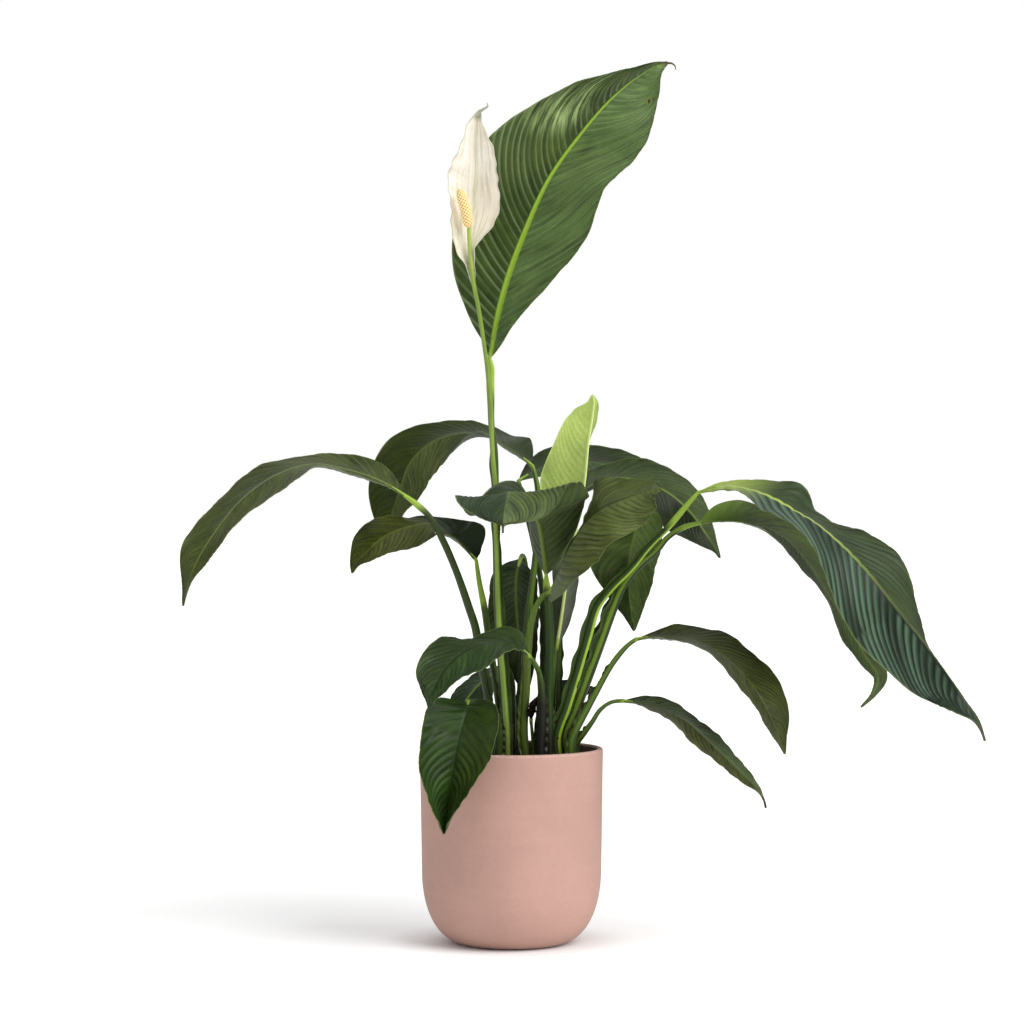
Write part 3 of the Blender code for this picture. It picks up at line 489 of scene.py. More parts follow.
class Graph:
    """Short names for the shader nodes of one material."""

    def __init__(self, name):
        self.mat = bpy.data.materials.new(name)
        self.mat.use_nodes = True
        self.tree = self.mat.node_tree
        self.shader = self.tree.nodes["Principled BSDF"]
        self.coord = None

    def node(self, kind, **settings):
        n = self.tree.nodes.new(kind)
        for key, value in settings.items():
            setattr(n, key, value)
        return n

    def put(self, socket, value):
        if isinstance(value, bpy.types.NodeSocket):
            self.tree.links.new(value, socket)
        elif hasattr(socket.default_value, "__len__") and not isinstance(value, (int, float)):
            size = len(socket.default_value)
            value = list(value)
            socket.default_value = (value + [1.0])[:size] if size == 4 else value[:size]
        else:
            socket.default_value = value

    def attr(self, name):
        return self.node("ShaderNodeAttribute", attribute_name=name).outputs["Fac"]

    def math(self, op, a, b=0.0, c=0.0, clamp=False):
        n = self.node("ShaderNodeMath", operation=op, use_clamp=clamp)
        self.put(n.inputs[0], a)
        self.put(n.inputs[1], b)
        self.put(n.inputs[2], c)
        return n.outputs[0]

    def span(self, x, low, high, to_low=0.0, to_high=1.0):
        n = self.node("ShaderNodeMapRange", interpolation_type="SMOOTHSTEP")
        for key, value in zip(("Value", "From Min", "From Max", "To Min", "To Max"), (x, low, high, to_low, to_high)):
            self.put(n.inputs[key], value)
        return n.outputs[0]

    def mix(self, fac, a, b, blend="MIX"):
        n = self.node("ShaderNodeMix", data_type="RGBA", blend_type=blend)
        self.put(n.inputs[0], fac)
        self.put(n.inputs[6], a)
        self.put(n.inputs[7], b)
        return n.outputs[2]

    def position(self):
        if self.coord is None:
            self.coord = self.node("ShaderNodeTexCoord").outputs["Object"]
        return self.coord

    def noise(self, scale, detail=3.0, rough=0.55, stretch=None, lump=0.0):
        at = self.position()
        if stretch:
            m = self.node("ShaderNodeMapping")
            self.put(m.inputs["Vector"], at)
            m.inputs["Scale"].default_value = stretch
            at = m.outputs[0]
        n = self.node("ShaderNodeTexNoise")
        self.put(n.inputs["Vector"], at)
        n.inputs["Scale"].default_value = scale
        n.inputs["Detail"].default_value = detail
        n.inputs["Roughness"].default_value = rough
        n.inputs["Distortion"].default_value = lump
        return n.outputs["Fac"]

    def cells(self, scale, feature="F1"):
        n = self.node("ShaderNodeTexVoronoi", feature=feature)
        self.put(n.inputs["Vector"], self.position())
        n.inputs["Scale"].default_value = scale
        return n

    def bump(self, height, strength, distance):
        n = self.node("ShaderNodeBump")
        n.inputs["Strength"].default_value = strength
        n.inputs["Distance"].default_value = distance
        self.put(n.inputs["Height"], height)
        self.tree.links.new(n.outputs[0], self.shader.inputs["Normal"])

    def finish(self, colour, rough, **fixed):
        self.put(self.shader.inputs["Base Color"], colour)
        self.put(self.shader.inputs["Roughness"], rough)
        for key, value in fixed.items():
            self.put(self.shader.inputs[key.replace("_", " ")], value)
        return self.mat


def scaled(rgb, k, less=0.0):
    return [max(0.002, c * k - less) for c in rgb]


def leaf_material(name, look):
    g = Graph(name)
    across, along, vein = g.attr("across"), g.attr("along"), g.attr("vein")
    dist, under = g.attr("dist"), g.attr("under")
    k, less = look.get("k", 1.0), look.get("less", 0.0)
    left, right = scaled(linear(look["left"]), k, less), scaled(linear(look["right"]), k, less)
    # each half has its own base colour, fitted to how bright that half looks, so a lit half is lighter and a shaded
    # half darker: painted light and shade
    colour = g.mix(g.span(across, -0.04, 0.04), left, right)
    # broad and fine mottling of the blade
    broad = g.noise(22, 3, 0.6, lump=0.4)
    colour = g.mix(g.span(broad, 0.25, 0.75), g.mix(1.0, colour, (0.62, 0.66, 0.64), "MULTIPLY"), colour)
    warm = g.noise(11, 2, 0.5)
    colour = g.mix(g.span(warm, 0.45, 0.8, 0.0, look.get("yellow", 0.35)), colour, g.mix(1.0, colour, (1.45, 1.22, 0.8), "MULTIPLY"))
    fleck = g.noise(420, 2, 0.6)
    colour = g.mix(g.span(fleck, 0.3, 0.7), g.mix(1.0, colour, (0.86, 0.88, 0.86), "MULTIPLY"), colour)
    # streaks that run with the side veins, each panel a little lighter or darker than the next
    flow = g.node("ShaderNodeCombineXYZ")
    g.put(flow.inputs[0], g.math("MULTIPLY", vein, look.get("streak_rate", 0.9)))
    g.put(flow.inputs[1], g.math("MULTIPLY", across, 1.7))
    g.put(flow.inputs[2], look.get("seed", 0.0) * 7.0)
    streak = g.node("ShaderNodeTexNoise")
    g.put(streak.inputs["Vector"], flow.outputs[0])
    streak.inputs["Scale"].default_value = 1.0
    streak.inputs["Detail"].default_value = 3.0
    streak.inputs["Roughness"].default_value = 0.6
    streak = streak.outputs["Fac"]
    low, high = look.get("streak", (0.56, 1.5))
    colour = g.mix(g.span(streak, 0.28, 0.5), g.mix(1.0, colour, (low, low, low), "MULTIPLY"), colour)
    colour = g.mix(g.span(streak, 0.5, 0.74), colour, g.mix(1.0, colour, (high, high, high * 0.94), "MULTIPLY"))
    # main side veins and the finer veins between them; a vein colour darker than the blade is painted shade in the sunk
    # veins, a paler one is the veins' own colour
    wave = g.math("PINGPONG", vein, 0.5)
    line = g.span(wave, 0.0, look.get("vein_wide", 0.16), 1.0, 0.0)
    away = g.span(dist, 1.0, 5.0)
    patchy = g.node("ShaderNodeTexNoise")
    g.put(patchy.inputs["Vector"], flow.outputs[0])
    patchy.inputs["Scale"].default_value = 0.45
    patchy.inputs["Detail"].default_value = 2.0
    line = g.math("MULTIPLY", line, g.span(patchy.outputs["Fac"], 0.34, 0.62, 0.3, 1.2))
    line = g.math("MULTIPLY", g.math("MULTIPLY", line, away), look.get("vein_show", 0.4))
    show_left, show_right = look.get("vein_sides", (1.0, 1.0))
    if show_left != show_right:
        line = g.math("MULTIPLY", line, g.span(across, -0.03, 0.03, show_left, show_right))
    colour = g.mix(line, colour, scaled(linear(look.get("vein", "#6f7d4a")), k, less))
    # the middle of each panel, where the blade swells between the sunk veins, is made lighter: a painted highlight on
    # the swelling
    panel_sheen = g.math("MULTIPLY", g.span(wave, 0.15, 0.5), look.get("panel_sheen", 0.35))
    colour = g.mix(g.math("MULTIPLY", panel_sheen, away), colour, g.mix(1.0, colour, look.get("panel_tint", (1.22, 1.2, 1.15)), "MULTIPLY"))
    thin = g.math("PINGPONG", g.math("MULTIPLY", vein, 5.0), 0.5)
    thin_line = g.math("MULTIPLY", g.span(thin, 0.0, 0.16, 0.30, 0.0), away)
    colour = g.mix(thin_line, colour, g.mix(1.0, colour, (0.72, 0.74, 0.7), "MULTIPLY"))
    # the base of the blade, its margin and the underside; a dark base colour is painted shade where the blade goes in
    # among the other leaves
    if "base" in look:
        start, stop, colour_base = look["base"]
        colour = g.mix(g.span(along, start, stop, 1.0, 0.0), colour, scaled(linear(colour_base), k, less))
    # pale lines along two side veins of the left half: painted highlights where light catches and shines through the
    # blade
    for at, wide, pale in look.get("vein_highlight_lines", ()):
        off = g.math("ABSOLUTE", g.math("SUBTRACT", vein, at * look["veins"]))
        mask = g.math("MULTIPLY", g.span(off, wide * 0.3, wide, 1.0, 0.0), g.span(across, -0.35, -0.12, 0.85, 0.0))
        colour = g.mix(mask, colour, scaled(linear(pale), k, less))
    # a pale patch on the left half: a painted highlight
    if "highlight_patch" in look:
        x, y, rx, ry, pale = look["highlight_patch"]
        d = g.math("SQRT", g.math("ADD", g.math("POWER", g.math("DIVIDE", g.math("SUBTRACT", along, x), rx), 2.0),
                                  g.math("POWER", g.math("DIVIDE", g.math("SUBTRACT", across, y), ry), 2.0)))
        fade = g.math("MULTIPLY", g.span(d, 0.2, 1.0, 1.0, 0.0), g.span(streak, 0.42, 0.62))
        colour = g.mix(fade, colour, scaled(linear(pale), k, less))
    if "end" in look:
        start, colour_end = look["end"]
        colour = g.mix(g.span(along, start, min(1.0, start + 0.35)), colour, scaled(linear(colour_end), k, less))
    rim = g.span(g.math("ABSOLUTE", across), 0.965, 1.0)
    colour = g.mix(g.math("MULTIPLY", rim, 0.5), colour, scaled(linear(look.get("margin", "#7c8a4c")), k, less))
    colour = g.mix(g.math("MULTIPLY", under, look.get("under_mix", 0.35)), colour, scaled(linear(look.get("under", "#66743f")), k, less))
    # midrib, in its own pale colour; big_centre_leaf's dark rib colour is painted shade in its fold
    rib_w = look.get("rib_w", 1.9)
    taper = g.math("DIVIDE", dist, g.span(along, 0.0, 1.0, look.get("rib_foot", 1.3), look.get("rib_top", 0.7)))
    rib = g.math("MULTIPLY", g.span(taper, rib_w * 0.45, rib_w, 1.0, 0.0), g.span(along, look.get("rib_end", 0.75), look.get("rib_gone", 1.0), 1.0, 0.15))
    rib = g.math("MULTIPLY", rib, look.get("rib_show", 0.9))
    colour = g.mix(rib, colour, scaled(linear(look.get("rib_colour", "#8a9b45")), k, less))
    for x, y, r, dark in look.get("spots", ()):
        d = g.math("SQRT", g.math("ADD", g.math("POWER", g.math("MULTIPLY", g.math("SUBTRACT", along, x), look["long"]), 2.0),
                                  g.math("POWER", g.math("MULTIPLY", g.math("SUBTRACT", across, y), look["wide"]), 2.0)))
        colour = g.mix(g.span(d, r * 0.5, r, 1.0, 0.0), colour, scaled(linear(dark), k, 0.0))
    if "tip" in look:
        start, brown = look["tip"]
        ragged = g.math("ADD", along, g.math("MULTIPLY", g.math("SUBTRACT", g.noise(160, 3), 0.5), 0.03))
        colour = g.mix(g.span(ragged, start, min(1.0, start + 0.02)), colour, scaled(linear(brown), k, 0.0))
    rough = g.math("ADD", g.span(broad, 0.2, 0.8, look.get("rough", 0.36), look.get("rough", 0.36) + 0.12), g.math("MULTIPLY", under, 0.08))
    height = g.math("ADD", g.math("MULTIPLY", g.span(thin, 0.0, 0.3), 0.5), g.math("MULTIPLY", g.noise(1300, 3, 0.6), 0.6))
    g.bump(height, 0.3, 0.0003)
    return g.finish(colour, rough, **{"Specular_IOR_Level": look.get("spec", 0.38), "IOR": 1.42})


def stem_material(name, look):
    g = Graph(name)
    along, angle, edge, dry = g.attr("along"), g.attr("angle"), g.attr("edge"), g.attr("dry")
    k, less = look.get("k", 1.0), look.get("less", 0.0)
    base = scaled(linear(look.get("colour", "#3f5a1e")), k, less)
    pale = scaled(linear(look.get("pale", "#8fae3a")), k, less)
    streak = g.noise(9, 4, 0.6, stretch=(22, 22, 1.6))
    colour = g.mix(g.span(streak, 0.3, 0.72), g.mix(1.0, base, (0.62, 0.64, 0.6), "MULTIPLY"), base)
    # a lighter band down the side of the stem that faces the light: a painted highlight
    lit = g.span(g.math("COSINE", g.math("SUBTRACT", angle, look.get("turn", 1.2))), look.get("highlight_band_from", 0.35), 0.97, 0.0, look.get("highlight_band", 0.45))
    colour = g.mix(lit, colour, scaled(linear(look.get("highlight_band_colour", "#6c8a26")), k, less))
    fleck = g.cells(420)
    colour = g.mix(g.span(fleck.outputs["Distance"], 0.0, 0.22, 0.35, 0.0), colour, g.mix(1.0, colour, (1.35, 1.3, 1.1), "MULTIPLY"))
    colour = g.mix(g.span(along, look.get("geni", 0.9), min(1.0, look.get("geni", 0.9) + 0.05)), colour, pale)
    foot = g.span(along, look.get("foot_from", 0.0), look.get("foot_to", 0.12), look.get("foot", 0.5), 0.0)
    colour = g.mix(foot, colour, scaled(linear(look.get("foot_colour", "#4a3a20")), k, 0.0))
    colour = g.mix(g.math("MULTIPLY", g.span(edge, 0.45, 0.95), look.get("margin", 0.45)), colour, scaled(linear(look.get("margin_colour", "#54502a")), k, 0.0))
    colour = g.mix(dry, colour, scaled(linear(look.get("dry", "#33281a")), k, 0.0))
    rough = g.span(streak, 0.2, 0.8, 0.36, 0.52)
    lines = g.noise(60, 3, 0.6, stretch=(26, 26, 0.5))
    g.bump(g.math("ADD", lines, g.math("MULTIPLY", g.noise(900, 2), 0.3)), 0.35, 0.0006)
    return g.finish(colour, rough, **{"Specular_IOR_Level": 0.4, "IOR": 1.42})


def ceramic_material():
    g = Graph("pink_ceramic")
    inside = g.attr("inside")
    body = [0.455, 0.274, 0.227]
    cloud = g.noise(13, 4, 0.6, lump=0.6)
    grain = g.noise(260, 4, 0.7)
    speck = g.cells(520)
    colour = g.mix(g.span(cloud, 0.25, 0.75), [c * 0.93 for c in body], [c * 1.05 for c in body])
    colour = g.mix(g.span(grain, 0.3, 0.7, 0.0, 0.6), colour, g.mix(1.0, colour, (0.93, 0.92, 0.92), "MULTIPLY"))
    colour = g.mix(g.span(speck.outputs["Distance"], 0.0, 0.10, 0.5, 0.0), colour, [c * 0.72 for c in body])
    streak = g.noise(7, 3, 0.55, stretch=(1.2, 1.2, 16))
    colour = g.mix(g.span(streak, 0.45, 0.8, 0.0, 0.22), colour, [min(1, c * 1.15) for c in body])
    # the inner wall is painted almost black: painted shade inside the pot
    colour = g.mix(g.math("MULTIPLY", inside, 0.94), colour, (0.055, 0.026, 0.018))
    # the foot rubs on what it stands on and is lighter there; the lighter band on the lip is a painted highlight
    foot_wear_and_lip_highlight = g.attr("foot_wear_and_lip_highlight")
    colour = g.mix(g.math("MULTIPLY", foot_wear_and_lip_highlight, g.span(grain, 0.35, 0.65)), colour, (0.60, 0.42, 0.37))
    rough = g.span(cloud, 0.2, 0.8, 0.62, 0.74)
    g.bump(g.math("ADD", g.math("MULTIPLY", grain, 0.7), g.math("MULTIPLY", streak, 0.8)), 0.30, 0.0007)
    return g.finish(colour, rough, **{"Specular_IOR_Level": 0.35})


def soil_material():
    g = Graph("potting_mix")
    clump = g.noise(60, 5, 0.65, lump=0.5)
    grain = g.noise(650, 4, 0.7)
    colour = g.mix(g.span(clump, 0.3, 0.7), (0.016, 0.009, 0.006), (0.062, 0.036, 0.022))
    colour = g.mix(g.span(grain, 0.5, 0.75, 0.0, 0.7), colour, (0.12, 0.075, 0.045))
    chip = g.attr("chip")
    colour = g.mix(g.math("MULTIPLY", chip, 0.8), colour, g.mix(g.span(grain, 0.3, 0.7), (0.085, 0.043, 0.022), (0.19, 0.11, 0.06)))
    rough = g.span(grain, 0.2, 0.8, 0.82, 0.97)
    g.bump(g.math("ADD", clump, g.math("MULTIPLY", grain, 0.6)), 0.8, 0.0014)
    return g.finish(colour, rough)


def crown_material():
    g = Graph("crown")
    scar = g.noise(40, 4, 0.65, stretch=(1, 1, 4), lump=0.7)
    grain = g.noise(500, 3, 0.7)
    colour = g.mix(g.span(scar, 0.3, 0.7), (0.045, 0.028, 0.012), (0.12, 0.10, 0.035))
    colour = g.mix(g.span(grain, 0.5, 0.8, 0.0, 0.5), colour, (0.17, 0.12, 0.06))
    g.bump(g.math("ADD", scar, g.math("MULTIPLY", grain, 0.5)), 0.7, 0.001)
    return g.finish(colour, g.span(scar, 0.2, 0.8, 0.65, 0.88))


def spadix_material():
    g = Graph("spadix")
    bead, along = g.attr("bead"), g.attr("along")
    colour = g.mix(g.span(bead, 0.15, 0.8), linear("#bd883a"), linear("#fbe7ac"))
    colour = g.mix(g.span(g.noise(300, 3), 0.4, 0.8, 0.0, 0.5), colour, linear("#efd28a"))
    colour = g.mix(g.span(along, 0.75, 1.0, 0.0, 0.35), colour, linear("#d7c07a"))
    g.bump(g.noise(1500, 3, 0.6), 0.4, 0.0003)
    return g.finish(colour, g.span(g.noise(200, 2), 0.3, 0.7, 0.5, 0.65))


def spathe_material():
    g = Graph("spathe")
    across, along, vein, dist, under = (g.attr(n) for n in ("across", "along", "vein", "dist", "under"))
    colour = g.mix(g.span(g.noise(30, 3, 0.6), 0.3, 0.7), linear("#e6e0d2"), linear("#f6f1e6"))
    fold = g.node("ShaderNodeCombineXYZ")
    g.put(fold.inputs[0], g.math("MULTIPLY", across, 5.0))
    g.put(fold.inputs[1], g.math("MULTIPLY", along, 2.6))
    fold_shade_and_highlight = g.node("ShaderNodeTexNoise")
    g.put(fold_shade_and_highlight.inputs["Vector"], fold.outputs[0])
    fold_shade_and_highlight.inputs["Scale"].default_value = 1.6
    fold_shade_and_highlight.inputs["Detail"].default_value = 4.0
    fold_shade_and_highlight = fold_shade_and_highlight.outputs["Fac"]
    # lengthwise folds are painted: the darker streaks are painted shade and the lighter streaks painted highlight
    colour = g.mix(g.span(fold_shade_and_highlight, 0.36, 0.5, 0.45, 0.0), colour, linear("#b5a88c"))
    colour = g.mix(g.span(fold_shade_and_highlight, 0.56, 0.7, 0.0, 0.5), colour, linear("#fbf8f0"))
    # a greenish-beige darkening on the left half beside the spadix: painted shade
    left_half_shade = g.math("MULTIPLY", g.span(across, -0.75, -0.15, 1.0, 0.0), g.span(along, 0.3, 0.6, 0.35, 0.0))
    colour = g.mix(left_half_shade, colour, linear("#cfc8a4"))
    thread = g.math("PINGPONG", g.math("MULTIPLY", across, 9.0), 0.5)
    colour = g.mix(g.span(thread, 0.0, 0.2, 0.22, 0.0), colour, linear("#cbc9b2"))
    colour = g.mix(g.span(dist, 0.5, 2.4, 0.55, 0.0), colour, linear("#c2c79a"))
    colour = g.mix(g.span(along, 0.0, 0.12, 0.75, 0.0), colour, linear("#a9b878"))
    colour = g.mix(g.span(along, 0.92, 1.0, 0.0, 0.85), colour, linear("#8f967c"))
    colour = g.mix(g.math("MULTIPLY", g.span(g.math("ABSOLUTE", across), 0.93, 1.0), 0.4), colour, linear("#bfbda4"))
    rough = g.span(g.noise(120, 3), 0.3, 0.7, 0.42, 0.56)
    g.bump(g.math("ADD", g.span(thread, 0.0, 0.3), g.math("MULTIPLY", g.noise(900, 2), 0.4)), 0.25, 0.0003)
    return g.finish(colour, rough, **{"Specular_IOR_Level": 0.35})


def floor_material():
    g = Graph("studio_floor")
    fine = g.noise(3, 2)
    # the floor glows a little, a painted light that lifts the shadows on it, and the glow fades out near the pot, a
    # painted contact shadow round its foot
    far = g.node("ShaderNodeVectorMath", operation="LENGTH")
    g.put(far.inputs[0], g.position())
    glow_and_contact_shadow = g.span(far.outputs["Value"], 0.05, 0.14, 0.0, 0.27)
    colour = g.mix(g.span(fine, 0.3, 0.7), (0.86, 0.86, 0.865), (0.87, 0.87, 0.875))
    return g.finish(colour, g.span(fine, 0.2, 0.8, 0.88, 0.92), **{
        "Specular_IOR_Level": 0.1, "Emission_Color": (1.0, 1.0, 1.0), "Emission_Strength": glow_and_contact_shadow})

# ---------------------------------------------------------------- turned, grown and loose pieces

def ring_piece(name, rings, mat, fields=None, poles=True):
    """Closed body from rings of points (n, sides, 3) in millimetres, with a pole at each end."""
    n, sides = rings.shape[:2]
    verts = rings.reshape(-1, 3)
    idx = np.arange(n * sides).reshape(n, sides)
    nxt = np.roll(idx, -1, axis=1)
    quads = np.stack([idx[:-1], nxt[:-1], nxt[1:], idx[1:]], -1).reshape(-1, 4)
    first, last = rings[0].mean(0), rings[-1].mean(0)
    verts = np.concatenate([verts, [first, last]])
    tris = [(idx[0, (j + 1) % sides], idx[0, j], n * sides) for j in range(sides)]
    tris += [(idx[-1, j], idx[-1, (j + 1) % sides], n * sides + 1) for j in range(sides)]
    values = {}
    for key, field in (fields or {}).items():
        flat = np.broadcast_to(field, (n, sides)).reshape(-1)
        values[key] = np.concatenate([flat, [flat[0], flat[-1]]])
    return body_data(verts, [tuple(q) for q in quads.tolist()] + [tuple(int(i) for i in t) for t in tris], values)


def body_data(verts, faces, values):
    """(points, faces, attributes) with the faces turned outwards."""
    vol = 0.0
    for size in (3, 4):
        group = np.array([f for f in faces if len(f) == size])
        if len(group):
            p = verts[group[:, 0]]
            for a, b in ((1, 2),) + (((2, 3),) if size == 4 else ()):
                vol += (p * np.cross(verts[group[:, a]], verts[group[:, b]])).sum()
    if vol < 0:
        faces = [f[::-1] for f in faces]
    return verts, faces, values


def sheet_data(top, low, values):
    rows, cols = top.shape[:2]
    n = rows * cols
    verts = np.concatenate([top.reshape(-1, 3), low.reshape(-1, 3)])
    idx = np.arange(n).reshape(rows, cols)
    a, b, c, d = idx[:-1, :-1], idx[1:, :-1], idx[1:, 1:], idx[:-1, 1:]
    parts = [np.stack([a, b, c, d], -1).reshape(-1, 4), np.stack([d, c, b, a], -1).reshape(-1, 4) + n]
    for line in (idx[:, 0][::-1], idx[0, :], idx[:, -1], idx[-1, :][::-1]):
        parts.append(np.stack([line[:-1], line[:-1] + n, line[1:] + n, line[1:]], -1))
    faces = [tuple(f) for f in np.concatenate(parts).tolist()]
    flat = {}
    for key, field in values.items():
        if isinstance(field, tuple):
            flat[key] = np.concatenate([np.broadcast_to(f, (rows, cols)).reshape(-1) for f in field])
        else:
            flat[key] = np.concatenate([np.broadcast_to(field, (rows, cols)).reshape(-1)] * 2)
    return body_data(verts, faces, flat)


def make(name, bodies, mat, names):
    """One object from several closed bodies; attributes that a body lacks are 0 on it."""
    verts, faces, start = [], [], 0
    values = {key: [] for key in names}
    for v, f, data in bodies:
        verts.append(v)
        faces += [tuple(i + start for i in face) for face in f]
        start += len(v)
        for key in names:
            values[key].append(np.asarray(data.get(key, np.zeros(len(v))), float))
    verts = np.concatenate(verts) * MM
    mesh = bpy.data.meshes.new(name)
    mesh.from_pydata(verts.tolist(), [], faces)
    mesh.update()
    mesh.polygons.foreach_set("use_smooth", [True] * len(mesh.polygons))
    for key, parts in values.items():
        layer = mesh.attributes.new(key, "FLOAT", "POINT")
        layer.data.foreach_set("value", np.concatenate(parts).astype(np.float32))
    obj = bpy.data.objects.new(name, mesh)
    bpy.context.scene.collection.objects.link(obj)
    mesh.materials.append(mat)
    return obj


def place_piece(obj, node):
    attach(obj, "root")
    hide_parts(node)
    return obj


def blade_data(leaf, look):
    """A closed blade whose mesh rows follow the side veins: the panels swell between sunk veins, the midrib is a
    groove above and a keel below, and the margins wave."""
    length = length_of(midrib(leaf))
    half_width = leaf["half_width"]
    veins = max(5, round(length / look.get("gap", 7.0)))
    q = np.linspace(0, 1, veins * look.get("per_vein", 6) + 1)
    q = np.unique(np.concatenate([q, np.linspace(0, 0.02, 5), np.linspace(0.97, 1, 10)]))
    sweep = min(0.31, look.get("sweep", 1.2) * half_width / length)
    half = np.array(HALF)
    across = np.concatenate([-half[:0:-1], half])
    seed = look.get("seed", 0.0)
    grid = np.empty((len(q), len(across), 3))
    ref = np.empty_like(grid)
    along, dist = np.empty(grid.shape[:2]), np.empty(grid.shape[:2])
    wave_mm = look.get("wave", 1.3)
    for j, v in enumerate(across):
        t = abs(v)
        u = np.clip(q + sweep * np.sin(np.pi * q) * (0.55 * t + 0.45 * t * t), 0, 1)
        mid, tangent, to_left, to_right, lift_left, lift_right, width = blade_frame(leaf, u)
        out, lift = (to_left, lift_left) if v < 0 else (to_right, lift_right)
        turn = (0.37 if v < 0 else 0.0) + seed
        wave = wave_mm * t**2.2 * np.minimum(1, width / 25) * np.sin(2 * np.pi * (look.get("waves", 3.0) * u + turn))
        wave += 0.35 * wave_mm * t**3 * np.sin(2 * np.pi * (11 * u + 2.3 * turn))
        wave *= np.sin(np.pi * np.clip(u, 0.001, 0.999)) ** 0.5
        grid[:, j] = mid + width[:, None] * (t * out + leaf["arch"] * 4 * t * (1 - t) * lift) + wave[:, None] * lift
        ref[:, j] = lift_left + lift_right if v == 0 else lift
        along[:, j], dist[:, j] = u, t * width
    normal = unit(np.cross(np.gradient(grid, axis=0), np.gradient(grid, axis=1)))
    normal *= np.where((normal * ref).sum(-1, keepdims=True) < 0, -1.0, 1.0)
    up = look.get("up") or (1.0 if (normal[..., 2] * dist).sum() > 0 else -1.0)
    normal = normal * up
    vein = q[:, None] * veins + 0 * along
    look["veins"] = float(veins)
    t = np.abs(across)[None, :]
    wide0 = np.broadcast_to(across[None, :], along.shape)
    ends = np.clip(along / 0.06, 0, 1) * np.clip((1 - along) / 0.05, 0, 1)
    rib = np.abs(np.sin(np.pi * vein)) ** 0.7
    uneven = 0.8 + 0.35 * np.sin(2 * np.pi * (vein * 0.137 + seed)) * np.sin(2 * np.pi * (0.9 * t + seed))
    amount = look.get("rib", 0.8) * np.clip(dist / 6, 0, 1) * (1 - 0.6 * t**3) * ends * uneven
    pucker = look.get("pucker", 0.35) * rough_at(np.stack([vein * 1.1, 5 * wide0, 0 * vein], -1).reshape(-1, 3), 0.9, 3, seed).reshape(vein.shape) * np.clip(dist / 8, 0, 1) * ends
    fine = pucker + 0.09 * look.get("rib", 0.8) * np.abs(np.sin(np.pi * vein * 3)) * np.clip(dist / 5, 0, 1) * ends
    swell = look.get("swell", 0.8) * np.sin(2 * np.pi * (along * 2.3 + seed)) * np.sin(np.pi * t) * ends
    height = amount * (rib - 0.6) + fine + swell
    keel = (look.get("keel", 1.3) * (1 - along) ** 0.8 + 0.2) * np.exp(-((dist / 1.8) ** 2)) * np.clip((1 - along) / 0.02, 0, 1)
    groove = 0.4 * np.exp(-((dist / 1.1) ** 2)) * ends
    top = grid + normal * (height + 0.26 - groove)[..., None]
    low = grid + normal * (height - 0.26 - keel)[..., None]
    wide = np.broadcast_to(across[None, :], along.shape)
    return sheet_data(top, low, {"vein": vein, "across": wide, "along": along, "dist": dist, "under": (0.0, 1.0)})


def stem_data(piece, look):
    """Petiole: a tube with a shallow channel on its inner face, a swollen joint under the blade and, low down,
    the two thin margins of the sheath."""
    count = look.get("count", 90)
    path, radius = stem_path(piece, count, look.get("into", 0.05))
    n = len(path)
    s = np.linspace(0, 1, n)
    tangent, inner, side = path_frame(path, piece)
    geni = look.get("geni", 0.9)
    swell = 1 + look.get("swell", 0.10) * np.exp(-(((s - (geni + 0.04)) / 0.04) ** 2)) if "blade" in piece else np.ones(n)
    for at, much, wide in look.get("bulges", ()):
        swell = swell + much * np.exp(-(((s - at) / wide) ** 2))
    angle = np.linspace(0, 2 * np.pi, 20, endpoint=False)
    rings = np.empty((n, 20, 3))
    seed = look.get("seed", 0.0)
    for j, a in enumerate(angle):
        channel = 1 - look.get("channel", 0.16) * np.exp(-((math.atan2(math.sin(a), math.cos(a)) / 0.5) ** 2)) * np.clip((0.97 - s) * 8, 0, 1)
        low_wave = 1 + 0.02 * np.sin(2 * np.pi * (5 * s + seed) + 2 * a) + 0.015 * np.sin(3 * a + seed)
        rings[:, j] = path + (radius * swell * channel * low_wave)[:, None] * (math.cos(a) * inner + math.sin(a) * side)
    bodies = [ring_piece("", rings, None, {"along": s[:, None] + 0 * angle, "angle": np.broadcast_to(angle, (n, 20))})]
    for wing in look.get("wings", ()):
        bodies.append(wing_data(path, radius, inner, side, **wing))
    return bodies


